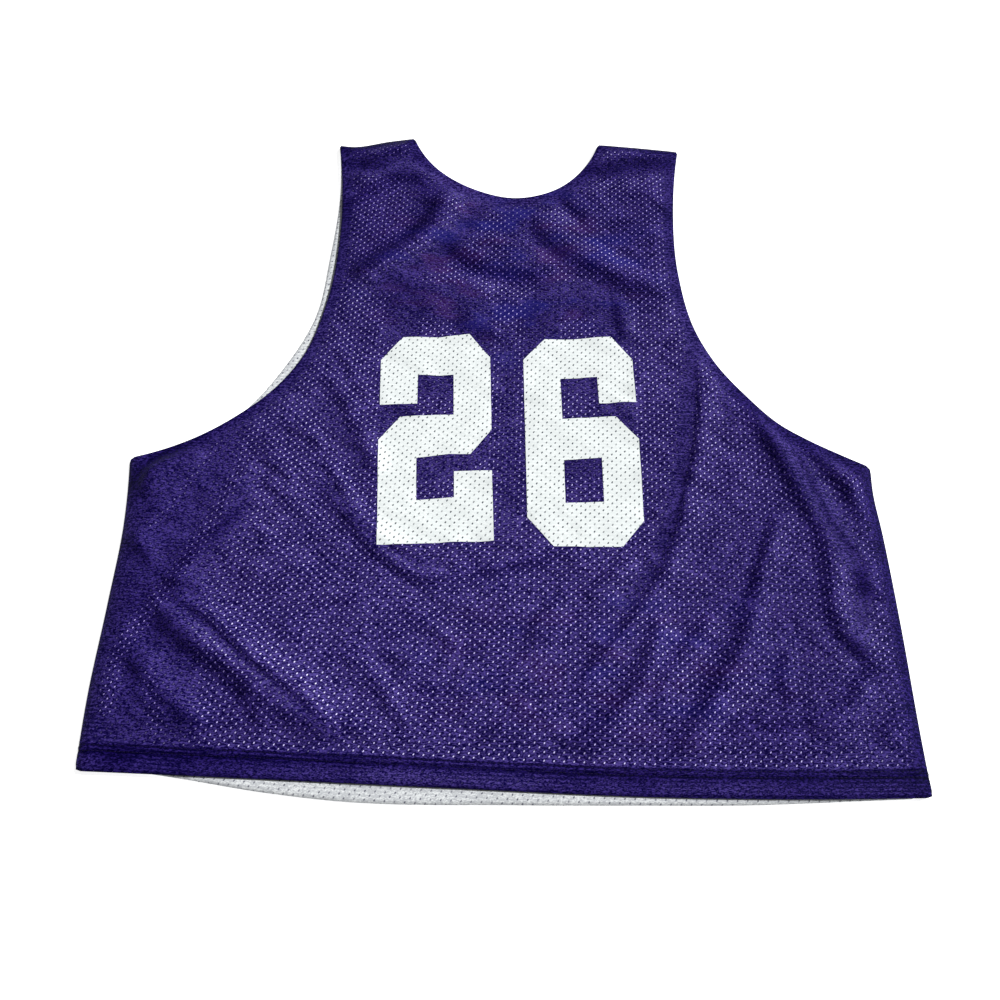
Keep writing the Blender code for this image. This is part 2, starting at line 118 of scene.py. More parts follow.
# The front's neck is cut deeper, its hem hangs lower and its left armhole lies further out.
FRONT = (
    edge("hem", HEM_LEFT, (-290, -293.8), (-248.5, -299), (-186, -309), (-125, -316), (11, -319),
         (102, -319.3), (193, -319), (281, -315.8), HEM_RIGHT),
    SIDE_RIGHT,
    edge("armhole", PIT_RIGHT, (294, -30), (267, -15), (244, 0), (216, 29), (193, 60), (178, 92),
         (165, 160), (165, 230), TIP_RIGHT),
    SHOULDER_RIGHT,
    edge("neck", NECK_RIGHT, (83, 272), (50, 232), (8, 219), (-34, 230), (-68, 268), NECK_LEFT),
    SHOULDER_LEFT,
    edge("armhole", TIP_LEFT, (-156, 257), (-161, 180), (-171, 111), (-194.7, 61), (-231, 12.5),
         (-268, -13.5), (-298, -26.5), PIT_LEFT),
    SIDE_LEFT,
)

# ---------------- panels
# How a panel ends at each kind of edge: how far inside the outline, how far it comes down there,
# and over what width it does so.
Border = namedtuple("Border", "inset fall roll", defaults=(0.0, 0.0, 0.002))

# The top panel comes down over the other three to the seams with the bottom one, and its middle
# layer ends there at SEAM_HEIGHT.
TOP_LEVEL = 3 * PITCH
SEAM_HEIGHT = WALL + SEAM_GAP + LIP_SHARE * WALL / 2
SEAM_FALL = TOP_LEVEL + WALL / 2 - SEAM_HEIGHT

SEAM = Border()  # the bottom panel's side or shoulder
TURNED = Border(inset=0.0027)  # it ends inside the ply turned over its edge
SHOWN = Border(fall=0.0012, roll=0.0024)  # the front's white edge, turned over its purple
HIDDEN_HEM = Border(inset=0.0032)  # the back's white hem under its purple one
LOW_SIDE = Border(inset=0.0115)  # the front's white side, clear of the seam
LOW_SHOULDER = Border(inset=0.0095)
HIGH_SIDE = Border(inset=0.0115, fall=HEM_PLY, roll=0.004)  # the back's white side, bent down a little
HIGH_SHOULDER = Border(inset=0.0095, fall=HEM_PLY, roll=0.004)
TOP_HEM = Border(fall=0.0018, roll=0.0030)
TOP_SIDE = Border(fall=SEAM_FALL, roll=0.010)
TOP_SHOULDER = Border(fall=SEAM_FALL, roll=0.008)
TOP_ROUND = Border(fall=0.0013, roll=0.0024)  # the top panel's armholes and neck

PRINTED = "back_cloth"  # the panel that carries the number

# level is the height of a panel's underside, step the spacing of its outline's points, grid that
# of its lattice, and folded tells whether it takes up the folds. face is 1 where its right side
# is up.
Panel = namedtuple("Panel", "name node slot edges level step grid folded face borders")


def borders(hem, side, shoulder, opening):
    """A panel's borders by kind of edge. Its armholes and neck have the same one."""
    return {"hem": hem, "side": side, "shoulder": shoulder, "armhole": opening, "neck": opening}


PANELS = (
    Panel(
        "front_cloth", "front_outer", "purple_net", FRONT, 0.0, 0.0045, 0.0068, False, -1,
        borders(TURNED, SEAM, SEAM, TURNED),
    ),
    Panel(
        "front_lining", "front_inner", "white_net", FRONT, PITCH, 0.0035, 0.0060, False, 1,
        borders(SHOWN, LOW_SIDE, LOW_SHOULDER, SHOWN),
    ),
    Panel(
        "back_lining", "back_inner", "white_net", BACK, 2 * PITCH, 0.0045, 0.0075, False, -1,
        borders(HIDDEN_HEM, HIGH_SIDE, HIGH_SHOULDER, TURNED),
    ),
    Panel(
        PRINTED, "back_outer", "purple_net", BACK, TOP_LEVEL, 0.0025, 0.0031, True, 1,
        borders(TOP_HEM, TOP_SIDE, TOP_SHOULDER, TOP_ROUND),
    ),
)

# ---------------- hem
# Each row changes the hem's height and its painted shading along a line at its own depth from the
# hem's edge: a minus is painted shade, in and below the stitch lines and along the edge, and a plus
# a painted highlight.
HemLine = namedtuple("HemLine", "depth width height tone")
STITCH_DEPTHS = (0.0199, 0.0155)  # the two rows of a twin needle
HEM_LINES = (
    HemLine(STITCH_DEPTHS[0], 0.0010, -0.00045, -0.60),
    HemLine(0.0178, 0.0009, 0.00025, -0.02),
    HemLine(STITCH_DEPTHS[1], 0.0014, -0.00050, -0.50),
    HemLine(0.0134, 0.0030, 0.0, -0.20),
    HemLine(0.0060, 0.0050, 0.00012, 0.16),
    HemLine(0.0, 0.0014, 0.0, -0.25),
)
HEM_TONE = 0.66  # the hem is darker than the rest, partly its doubled cloth and partly painted shade
HEM_TONE_END = 0.0206  # up to its upper stitches
THREAD_GROOVE = 0.0004  # the stitches press this far into a hem's underside
THREAD_GROOVE_WIDTH = 0.0009
HEM_ROWS = (0.0052, 0.0075, 0.0100, 0.0120, 0.0136, 0.0147, 0.0155, 0.0163, 0.0171, 0.0180) + (
    0.0190, 0.0199, 0.0207, 0.0216, HEM_DEPTH + HEM_STEP / 2, HEM_DEPTH + HEM_STEP, 0.0250,
)
PUCKER = 0.00012  # the hem's height varies by this between its stitches
PUCKER_LENGTH = 0.007

# ---------------- folds of the top panel
# A fold's path runs along the middle of the flank that is turned away from the light, and dark is
# that flank's width. A crest stands on the lit side of it, or for a minus a hollow on the other
# side, and bright is the width of the flank beyond.
LIGHT_AZIMUTH = math.radians(25)
LIGHT_SIDE = np.array([math.cos(LIGHT_AZIMUTH), math.sin(LIGHT_AZIMUTH)])
CREST_SHARE = 0.7  # from a fold's path to its crest, as a share of the dark flank's width
FOLD_REACH = 3  # a fold is left out beyond this many widths of its wider flank
RUN_OUT_POWER = 4  # the higher it is, the nearer to its ends a fold dies away

FOLDS = folds(
    # lower left, running down to the hem
    (6.4, 11, 13, (-292, -162), (-268, -183), (-224, -216), (-171, -251), (-127, -280)),
    (5.2, 5, 14, (-275, -156), (-252, -166), (-205, -204), (-157, -240), (-126, -266)),
    (4.2, 8, 10, (-303, -203), (-280, -226), (-258, -246), (-230, -262)),
    (1.7, 4, 6, (-292, -232), (-275, -246), (-256, -262)),
    (1.3, 4, 6, (-128, -254), (-114, -264), (-100, -278)),
    (1.4, 6, 10, (-210, -228), (-196, -246), (-184, -266)),
    # left side
    (3, 7, 14, (-270, -148), (-255, -119), (-241, -105), (-220, -84)),
    (3.6, 6, 11, (-324, -103), (-304, -112), (-288, -130)),
    (2, 6, 9, (-279, -138), (-262, -147), (-240, -150)),
    (1.5, 4, 6, (-220, -90), (-206, -98), (-186, -112)),
    (6, 10, 18, (-262, -14), (-282, -26), (-300, -42), (-311, -70)),
    (1.4, 4, 7, (-268, -56), (-252, -64), (-236, -68)),
    (1.4, 5, 8, (-218, -30), (-226, -58), (-242, -84)),
    (1.6, 4, 7, (-206, -30), (-191, -44), (-174, -56)),
    (1.4, 4, 7, (-202, -56), (-188, -65), (-172, -74)),
    (1.3, 4, 6, (-188, -6), (-170, -12), (-154, -26)),
    (1.5, 4, 6, (-300, -80), (-282, -82), (-262, -94)),
    # left of the number and round its foot
    (2.8, 8, 9, (-162, 46), (-138, 18), (-130, -4), (-122, -20), (-106, -52)),
    (1.8, 5, 7, (-152, 78), (-134, 50), (-118, 20)),
    (2.8, 4.5, 8, (-158, -36), (-143, -51), (-129, -76), (-110, -100), (-64, -126)),
    (3.6, 6, 5, (-154, -63), (-130, -88), (-113, -111), (-99, -124), (-59, -143), (-40, -141), (-26, -127)),
    # low in the middle
    (1.7, 4, 7, (-84, -164), (-60, -182), (-30, -206)),
    (2, 5, 7, (-16, -138), (4, -133), (42, -124)),
    (2.2, 4, 7, (66, -154), (86, -140), (110, -120)),
    (2.4, 5, 9, (18, -188), (34, -170), (56, -150)),
    (2, 8, 12, (-4, -222), (22, -200), (56, -172)),
    (1.7, 5, 7, (-106, -216), (-90, -242), (-72, -266)),
    (1.5, 5, 8, (-96, -202), (-78, -211), (-56, -215)),
    (1.5, 4, 6, (22, -238), (6, -254), (-14, -270)),
    (1.3, 4, 6, (10, -256), (34, -252), (56, -247)),
    # the long curve right of the number
    (3, 3.6, 13, (176, 76), (176, 40), (172.5, 2.5), (166, -32.5), (157.5, -60), (149, -95), (135, -125),
     (122, -147)),
    (3.6, 5, 11, (146, -114), (131, -137.5), (116.5, -158), (102, -178.5), (84.5, -199), (56, -233)),
    (5, 8, 12, (123.5, -170), (116.5, -202), (105, -228), (90, -246), (56, -274)),
    (3.2, 6, 10, (174, -166), (152, -192), (133, -216), (116, -252)),
    # down from the right armhole
    (4, 6, 12, (229, -84), (222, -105), (212, -132), (203, -162)),
    (5.6, 10, 10, (206, -148), (195, -180), (187, -200), (170, -226), (130, -282)),
    (1.4, 5, 7, (227, -168), (212, -185), (199, -200)),
    (4.8, 7, 12, (196, 52), (217, 20), (227, -7), (240, -40), (260, -90), (271, -114)),
    (4.2, 8, 12, (260, -96), (267, -115), (266, -150), (272, -188), (286, -204), (298, -230)),
    (1.6, 3, 6, (243, -3), (260, -40), (275, -85), (295, -120), (314, -140)),
    (5.2, 8, 11, (252, -10), (272, -35), (285, -52), (295, -72), (303, -92)),
    (1.9, 4, 5, (305, -44), (311, -58), (317, -74)),
    (2.2, 9, 12, (294, -132), (297, -146), (298, -160)),
    # lower right
    (2.2, 6, 8, (232, -198), (222, -214), (221, -232), (228, -248)),
    (3.6, 7, 9, (284, -220), (272, -240), (254, -252), (236, -256)),
    (2.6, 7, 8, (234, -256), (216, -262), (196, -262)),
    (3.3, 7, 8, (324, -246), (306, -255), (290, -274)),
    # upper left chest and strap
    (7, 12, 16, (-142, 158), (-110, 178), (-78, 205), (-58, 256)),
    (-3.5, 10, 10, (-150, 232), (-120, 250), (-94, 268), (-72, 256)),
    (3.8, 9, 10, (-122, 280), (-108, 296), (-88, 300), (-70, 284)),
    (-3.2, 8, 8, (-160, 284), (-146, 290), (-128, 284)),
    (-2.9, 7, 8, (-158, 256), (-146, 262), (-130, 260)),
    # across the chest
    (-3.7, 9, 12, (-58, 194), (-28, 170), (6, 159), (48, 154)),
    (4.7, 10, 16, (58, 180), (88, 159), (118, 143), (150, 133)),
    (-3.1, 8, 9, (30, 218), (45, 194), (64, 180)),
    (-2.8, 6, 9, (54, 250), (70, 232), (84, 216)),
    (1.9, 12, 14, (-110, 148), (-84, 132), (-60, 104)),
    (2.5, 10, 10, (-42, 104), (-22, 96), (-2, 86)),
    (2.2, 6, 10, (105, 130), (108, 108), (112, 84)),
    # right strap
    (-4.5, 11, 13, (76, 276), (107, 280), (136, 289), (170, 287)),
    (2, 6, 8, (142, 246), (154, 234), (164, 216)),
)

# Small creases everywhere: height, size across and along, the direction they run in, and a seed.
Ripple = namedtuple("Ripple", "height across along angle seed")
RIPPLES = (
    Ripple(0.00120, 0.018, 0.055, math.radians(-36), 1),
    Ripple(0.00100, 0.015, 0.045, math.radians(58), 2),
    Ripple(0.00085, 0.0085, 0.024, math.radians(-30), 3),
    Ripple(0.00030, 0.0065, 0.013, math.radians(12), 4),
)

# ---------------- number
TWO = (
    (-87.3, 88.2), (-54.4, 87.3), (-27.7, 90.5), (-8.8, 66.6), (-7.4, -5.7), (-25.6, -28.9), (-43.7, -28.9),
    (-72.1, -32.2), (-71.1, -71.6), (-39, -69.4), (-39.4, -44.9), (-6.9, -44.5), (-5.1, -108.2),
    (-53.8, -110.4), (-102.3, -112.7), (-105.6, -15.6), (-87.6, 7.5), (-40.7, 9.1), (-41.4, 49.3),
    (-57.7, 48), (-73.2, 49), (-72.9, 20), (-105.7, 18.8), (-106.9, 64.5),
)
SIX = (
    (40.4, 85.4), (66.3, 85.4), (100.4, 88), (118.8, 64.4), (119.9, 21.3), (87.4, 20.1), (86.6, 47.2),
    (53.7, 45), (54.6, 4.8), (86, 6.9), (101.3, 7.2), (120.6, -14.6), (120.9, -90.7), (102.1, -113.8),
    (44.7, -113.5), (23, -87), (22.1, -14.2), (20.9, 64.1),
)
EYE = ((55, -34.7), (87.8, -32.2), (88.1, -73.4), (55.4, -74.4))
DIGIT_2, DIGIT_6, EYE_6 = (np.array(corners) / MM - MIDDLE for corners in (TWO, SIX, EYE))
DIGIT_STEP = 0.0034  # between the points along a digit's outline
PRINT_REACH = 0.0014  # round the print, over this width, the cloth has a row of points and painted shade
PAINTED_PRINT_SHADE = 0.40  # which darkens the cloth there by this share
PRINT_CALM = 0.35  # share of the small creases that the print leaves
PRINT_FADE = 0.008  # over this width from its edge
INK = 0.00014  # thickness of the print
INK_LIFT = 0.00003  # from the cloth to the print's underside
SHARP = math.radians(50)  # the print's edges are sharper than this

# The white ply under the top panel has its own purple number. Seen from its back it is mirrored
# about this line and lies this much higher, and it shows only in the net's holes.
GHOST_MIDDLE = 0.0058
GHOST_RISE = 0.060
GHOST_SHOWN = 0.22  # share of a hole's brightness that is left over that number


# ---------------- lines of points
def curve(knots, step):
    """Points along a smooth curve through a few drawn knots, about `step` apart."""
    knots = np.array(knots) / MM - MIDDLE
    place = lengths(knots)
    slope = np.gradient(knots, place, axis=0, edge_order=min(2, len(knots) - 1))
    count = max(4, math.ceil(place[-1] / step))
    where = np.linspace(0.0, place[-1], count)
    span = np.clip(np.searchsorted(place, where, side="right") - 1, 0, len(knots) - 2)
    width = (place[span + 1] - place[span])[:, None]
    t = (where - place[span])[:, None] / width
    start = (1 + 2 * t) * (1 - t) ** 2 * knots[span] + t * (1 - t) ** 2 * width * slope[span]
    end = t**2 * (3 - 2 * t) * knots[span + 1] + t**2 * (t - 1) * width * slope[span + 1]
    return start + end


def lengths(line):
    """How far along a line of points each of them is."""
    return np.concatenate([[0.0], np.cumsum(np.linalg.norm(np.diff(line, axis=0), axis=1))])


def at(line, places, where):
    """The points of a line at some places, measured as `places` measures its own points."""
    return np.stack([np.interp(where, places, line[:, 0]), np.interp(where, places, line[:, 1])], axis=1)


def inward(line):
    """Unit normals on the left of a line of points, which is inside an anticlockwise outline."""
    along = np.gradient(line, axis=0)
    along /= np.linalg.norm(along, axis=1)[:, None]
    return np.stack([-along[:, 1], along[:, 0]], axis=1)


def cross(a, b):
    """The cross product of flat vectors."""
    return a[..., 0] * b[..., 1] - a[..., 1] * b[..., 0]


def crossing(first, second):
    """Where two lines of points cross, as a place on each, counted in points."""
    p, r = first[:-1, None], np.diff(first, axis=0)[:, None]
    q, s = second[None, :-1], np.diff(second, axis=0)[None]
    t = cross(q - p, s) / cross(r, s)
    u = cross(q - p, r) / cross(r, s)
    hits = np.argwhere((t > -MERGE) & (t < 1 + MERGE) & (u > -MERGE) & (u < 1 + MERGE))
    i, j = hits[0]
    return i + t[i, j], j + u[i, j]


def beside(points, line):
    """How far along a line each point's nearest place is, from 0 to 1, and how far to the left."""
    places = lengths(line)
    near = np.full(len(points), np.inf)
    along = np.zeros(len(points))
    left = np.ones(len(points))
    for place, start, run in zip(places, line[:-1], np.diff(line, axis=0)):
        share = np.clip((points - start) @ run / (run @ run), 0.0, 1.0)
        offset = points - start - share[:, None] * run
        away = np.linalg.norm(offset, axis=1)
        closer = away < near
        near[closer] = away[closer]
        along[closer] = place + share[closer] * math.hypot(*run)
        left[closer] = np.where(cross(run, offset[closer]) < 0, -1.0, 1.0)
    return along / places[-1], near * left


def distance(points, line):
    """How far each point is from a line of points."""
    return abs(beside(points, line)[1])


def closed(loop):
    """A loop as a line that ends in its first point."""
    return np.vstack([loop, loop[:1]])


def within(points, loop):
    """Which points lie inside a closed loop."""
    inside = np.zeros(len(points), bool)
    x, y = points[:, 0], points[:, 1]
    for (ax, ay), (bx, by) in zip(loop, np.roll(loop, -1, axis=0)):
        if ay != by:
            inside ^= ((ay > y) != (by > y)) & (x < (bx - ax) * (y - ay) / (by - ay) + ax)
    return inside


def ease(share):
    """A soft step from 0 to 1."""
    share = np.clip(share, 0.0, 1.0)
    return share * share * (3.0 - 2.0 * share)


def bell(away, width, power=2):
    """1 in the middle and near 0 beyond a width. A higher power gives it a flatter top."""
    return np.exp(-((away / width) ** power))


def nearest(near, *kinds):
    """How far points are from the nearest edge, or from the nearest one of some kinds."""
    return np.min([away for kind, away in near if not kinds or kind in kinds], axis=0)


def close_to(points, line, reach):
    """Which points may be within reach of a line."""
    return ((points > line.min(axis=0) - reach) & (points < line.max(axis=0) + reach)).all(axis=1)


# ---------------- a panel's flat plan
def edge_lines(panel):
    """Each edge of a panel as its kind and a line of points, moved in and cut where it meets the next."""
    longest = 2 * max(border.inset for border in panel.borders.values()) + CORNER
    lines = []
    for kind, points in panel.edges:
        line = curve(points, CURVE_STEP)
        line = line + inward(line) * panel.borders[kind].inset
        first, last = line[0] - line[1], line[-1] - line[-2]
        before = line[0] + first / np.linalg.norm(first) * longest
        after = line[-1] + last / np.linalg.norm(last) * longest
        lines.append(np.vstack([before, line, after]))
    meets = [crossing(lines[i - 1], lines[i]) for i in range(len(lines))]
    cut = []
    for i, ((kind, _), line) in enumerate(zip(panel.edges, lines)):
        start, end = meets[i][1], meets[(i + 1) % len(lines)][0]
        inner = np.arange(math.ceil(start + 0.5), math.floor(end - 0.5) + 1)
        where = np.concatenate([[start], inner, [end]])
        cut.append((kind, at(line, np.arange(len(line)), where)))
    return cut


def outline(lines, step):
    """The closed loop of an outline's points, about `step` apart, with each point's kind of edge."""
    loop, kinds = [], []
    for i, (kind, line) in enumerate(lines):
        places = lengths(line)
        count = max(2, round((places[-1] - 2 * CORNER) / step) + 1)
        loop.append(at(line, places, np.linspace(CORNER, places[-1] - CORNER, count)))
        after = lines[(i + 1) % len(lines)][1]
        follow = at(after, lengths(after), [CORNER])[0]
        loop.append((loop[-1][-1:] + 2 * line[-1:] + follow) / 4)
        kinds += [kind] * (count + 1)
    return np.vstack(loop), kinds


def clear_of(points, lines, insets):
    """Which points are no nearer to each edge than that edge's own inset."""
    clear = np.ones(len(points), bool)
    for kind, line in lines:
        clear &= distance(points, line) > NEAR_SHARE * insets[kind]
    return clear


def border_rows(panel, lines, loop, kinds):
    """Rows of points inside the loop, which give the lip and the rolled border their form."""
    normal = inward(np.vstack([loop[-1:], loop, loop[:1]]))[1:-1]
    rows = []
    for share in (0.0,) + ROLL_SHARES:
        insets = {kind: LIP + share * border.roll for kind, border in panel.borders.items()}
        row = loop + normal * np.array([insets[kind] for kind in kinds])[:, None]
        rows.append(row[clear_of(row, lines, insets)])
    return rows


def hem_rows(panel, lines, insets):
    """Rows of points along the hem, close together where its stitch lines are."""
    rows = []
    line = lines[0][1]
    for depth in HEM_ROWS:
        row = line + inward(line) * depth
        places = lengths(row)
        row = at(row, places, np.arange(panel.step, places[-1], panel.step))
        rows.append(row[clear_of(row, lines, insets)])
    return rows


def lattice(panel, lines, loop, insets):
    """Points of a triangular lattice that fill the panel inside its border and above its hem."""
    low, high = loop.min(axis=0), loop.max(axis=0)
    rise = panel.grid * math.sqrt(3) / 2
    points = []
    for row in range(int((high[1] - low[1]) / rise) + 1):
        start = low[0] + (row % 2) * panel.grid / 2
        xs = np.arange(start, high[0], panel.grid)
        points.append(np.stack([xs, np.full(len(xs), low[1] + row * rise)], axis=1))
    points = np.vstack(points)
    spread = {kind: (inset + LATTICE_CLEAR * panel.grid) / NEAR_SHARE for kind, inset in insets.items()}
    spread["hem"] = (HEM_ROWS[-1] + LATTICE_CLEAR * panel.grid) / NEAR_SHARE
    return points[clear_of(points, lines, spread)]


def digit_loop(corners):
    """A digit's outline as closely spaced points."""
    line = closed(corners)[::-1]
    places = lengths(line)
    between = [
        np.linspace(a, b, max(1, round((b - a) / DIGIT_STEP)), endpoint=False)
        for a, b in zip(places[:-1], places[1:])
    ]
    return at(line, places, np.concatenate(between))


def plan(panel):
    """A panel's edges, flat points and triangles."""
    lines = edge_lines(panel)
    loop, kinds = outline(lines, panel.step)
    insets = {kind: LIP + border.roll for kind, border in panel.borders.items()}
    rows = [loop, *border_rows(panel, lines, loop, kinds), *hem_rows(panel, lines, insets)]
    fill = lattice(panel, lines, loop, insets)
    loops = [range(len(loop))]
    if panel.name == PRINTED:
        for corners in (DIGIT_2, DIGIT_6, EYE_6):
            rim = digit_loop(corners)
            line = closed(rim)
            around = rim - inward(np.vstack([rim[-1:], line]))[1:-1] * PRINT_REACH
            around = around[distance(around, line) > NEAR_SHARE * PRINT_REACH]
            fill = fill[distance(fill, line) > PRINT_REACH + LATTICE_CLEAR * panel.grid]
            start = sum(len(row) for row in rows)
            loops.append(range(start, start + len(rim)))
            rows += [rim, around]
    rows.append(fill)
    result = delaunay_2d_cdt(np.vstack(rows).tolist(), [], loops, 1, MERGE)
    flat = np.array([tuple(point) for point in result[0]])
    used, faces = numbered_anew(np.array(result[2]))
    return lines, flat[used], faces


# ---------------- a panel's form
def swell(points, fold):
    """How far one fold lifts or dips the cloth."""
    path = curve(fold.path, FOLD_STEP)
    close = close_to(points, path, FOLD_REACH * max(fold.dark, fold.bright))
    along, left = beside(points[close], path)
    lit = math.copysign(1.0, cross(path[-1] - path[0], LIGHT_SIDE))
    way = math.copysign(1.0, fold.height)
    past = (left * lit - way * CREST_SHARE * fold.dark) * way
    width = np.where(past < 0.0, fold.dark, fold.bright)
    run_out = 1.0 - abs(2.0 * along - 1.0) ** RUN_OUT_POWER
    lift = np.zeros(len(points))
    lift[close] = fold.height * run_out * bell(past, width)
    return lift


def ripple(points, row):
    """Small uneven creases that run in one direction."""
    cos, sin = math.cos(row.angle), math.sin(row.angle)
    place = points @ np.array([[cos, -sin], [sin, cos]]) / np.array([row.along, row.across])
    return row.height * np.array([noise.noise((x, y, row.seed)) for x, y in place])


def relief(points):
    """How far the folds lift the top panel."""
    height = np.full(len(points), LOFT)
    for fold in FOLDS:
        height += swell(points, fold)
    calm = 1.0 - (1.0 - PRINT_CALM) * printed(points)
    for row in RIPPLES:
        height += ripple(points, row) * calm
    return np.maximum(height, 0.0)


def printed(points):
    """1 well inside the number and 0 outside it."""
    share = np.zeros(len(points))
    for loop, sign in ((DIGIT_2, 1.0), (DIGIT_6, 1.0), (EYE_6, -1.0)):
        inside = within(points, loop)
        depth = distance(points[inside], closed(loop))
        share[inside] += sign * ease(depth / PRINT_FADE)
    return np.clip(share, 0.0, 1.0)


def hem_height(depth, along):
    """What the turned-up ply, its stitch lines and the pucker between them add to a hem."""
    height = HEM_PLY * np.clip((HEM_DEPTH + HEM_STEP - depth) / HEM_STEP, 0.0, 1.0)
    for line in HEM_LINES:
        height += line.height * bell(depth - line.depth, line.width)
    places = np.column_stack([along, depth]) / PUCKER_LENGTH
    wave = np.array([noise.noise((x, y, 0.0)) for x, y in places])
    inside = np.clip((HEM_DEPTH - depth) / HEM_STEP, 0.0, 1.0)
    return height + PUCKER * wave * inside


def thread_groove(depth):
    """How far a hem's stitches press into its right side, where that lies underneath."""
    return sum(THREAD_GROOVE * bell(depth - row, THREAD_GROOVE_WIDTH) for row in STITCH_DEPTHS)


def form(panel, lines, points):
    """The height of a panel's middle layer, its half thickness, its hem's extra, and its edges' distances."""
    near = [(kind, distance(points, line)) for kind, line in lines]
    fall = np.zeros(len(points))
    for kind, away in near:
        border = panel.borders[kind]
        fall = np.maximum(fall, border.fall * np.clip(1.0 - away / border.roll, 0.0, None) ** 2)
    quiet = np.min([away - (HEM_DEPTH if kind == "hem" else 0.0) for kind, away in near], axis=0)
    lift = relief(points) * ease(quiet / CALM) if panel.folded else 0.0
    lip = np.clip(nearest(near) / LIP, 0.0, 1.0)
    half = WALL / 2 * (LIP_SHARE + (1.0 - LIP_SHARE) * lip)
    hem = hem_height(near[0][1], points[:, 0]) * lip
    return panel.level + WALL / 2 + lift - fall, half, hem, near


def numbered_anew(faces):
    """The points that some triangles use, and the triangles with those points' new numbers."""
    used, faces = np.unique(faces, return_inverse=True)
    return used, faces.reshape(-1, 3)


def normals(points, faces):
    """Unit normals of a surface at its points."""
    corners = points[faces]
    flat = np.cross(corners[:, 1] - corners[:, 0], corners[:, 2] - corners[:, 0])
    total = np.zeros_like(points)
    for corner in range(3):
        np.add.at(total, faces[:, corner], flat)
    return total / np.linalg.norm(total, axis=1)[:, None]


def rim_edges(faces):
    """The edges on the open border of a surface, each in its own triangle's direction."""
    edges = {(a, b) for face in faces for a, b in zip(face, (face[1], face[2], face[0]))}
    return sorted((a, b) for a, b in edges if (b, a) not in edges)


def new_piece(name, points, faces):
    """A smooth-shaded mesh in the scene."""
    mesh = bpy.data.meshes.new(name)
    mesh.from_pydata(points, [], faces)
    mesh.shade_smooth()
    piece = bpy.data.objects.new(name, mesh)
    bpy.context.collection.objects.link(piece)
    return piece


def wall(name, upper, under, faces):
    """A closed wall between two layers of points that share their triangles."""
    count = len(upper)
    rim = [(a, a + count, b + count, b) for a, b in rim_edges(faces.tolist())]
    points = np.vstack([upper, under]).tolist()
    return new_piece(name, points, faces.tolist() + (faces[:, ::-1] + count).tolist() + rim)


def paint(piece, name, values):
    """Stores a number for each point of a wall, the same on both of its sides."""
    attribute = piece.data.attributes.new(name, "FLOAT", "POINT")
    attribute.data.foreach_set("value", np.tile(values, 2).astype(np.float32))


# ---------------- where the holes show
# The net's holes show the white ply under them. Along each stroke, over its width, they show by its
# share instead of what the strokes before it left. A low share is partly where the two plies' holes
# lie on each other and partly painted shade on the white ply, where the cloth stands off it.
PATCH_REACH, PATCH_POWER = 2, 4  # how far a stroke reaches, in its widths, and how flat its top is
BARE_EDGE = 0.0095  # along armholes, neck and side seams the holes hardly show
BARE_FADE = 0.003
EDGE_AND_HEM = {"purple_net": (0.0, 0.05), "white_net": (1.0, 0.85)}  # how much they show there

PATCHES = strokes(
    # the left side, where the two plies' holes lie on each other
    (0.1, 62, (-262, 20), (-280, -60), (-296, -150), (-306, -260)),
    (0.1, 16, (-232, -45), (-224, -70), (-238, -100)),
    (0.15, 14, (-250, -120), (-258, -180), (-252, -222), (-250, -262)),
    (0.95, 6, (-178, 24), (-205, 6), (-225, -50), (-247, -105)),
    (0.95, 7, (-247, -105), (-278, -160), (-300, -195), (-307, -245)),
    (0.5, 3, (-244, -18), (-262, -50), (-276, -75), (-292, -94)),
    (0.9, 6, (-277, -222), (-272, -240), (-266, -262)),
    (0.2, 12, (-172, 100), (-182, 60), (-204, 30)),
    # crests and flanks of folds, where the holes' shares are partly painted shade on the white ply
    (0.25, 5, (-262, -160), (-225, -191), (-185, -225), (-128, -270)),
    (0.4, 7, (-160, 20), (-140, -5), (-118, -38)),
    (0.35, 6, (-152, -56), (-128, -80), (-106, -108), (-50, -132)),
    (0.35, 8, (7, 90), (7, 0), (7, -100)),
    (0.05, 9, (174, 160), (171, 60), (160, -10), (151, -64), (130, -125)),
    (0.3, 7, (130, -125), (114, -147), (100, -165)),
    (0.7, 50, (200, -130), (240, -190), (280, -260)),
    (0.15, 5, (196, 56), (198, 26), (203, 0)),
    (0.05, 14, (236, -6), (258, -48), (276, -86), (294, -130)),
    (0.1, 12, (262, 0), (284, -34), (300, -42)),
    (0.8, 6, (294, -54), (300, -84), (305, -126)),
    (0.1, 10, (298, -146), (291, -176), (285, -200)),
    (0.65, 8, (236, -80), (216, -120), (202, -180)),
    # chest and straps
    (0.35, 8, (-136, 156), (-94, 184), (-56, 222)),
    (0.1, 14, (-108, 146), (-74, 166), (-40, 200), (-24, 232)),
    (0.95, 3, (-146, 122), (-120, 152), (-78, 188), (-34, 240)),
    (0.1, 16, (-60, 270), (-10, 244), (40, 244), (76, 268)),
    (0.4, 15, (18, 230), (20, 200), (28, 176)),
    (0.35, 9, (36, 200), (46, 190), (60, 180)),
    (0.4, 13, (-68, 212), (-76, 240), (-78, 270)),
    (0.12, 15, (-158, 286), (-120, 282), (-76, 286)),
    (0.8, 5, (-112, 306), (-90, 306)),
    (0.2, 12, (94, 280), (130, 284), (168, 284)),
)


def covered(points, stroke, reach, power):
    """Which points a stroke may reach, and how much of it each of them gets."""
    path = curve(stroke.path, FOLD_STEP)
    close = close_to(points, path, reach * stroke.width)
    return close, bell(distance(points[close], path), stroke.width, power)


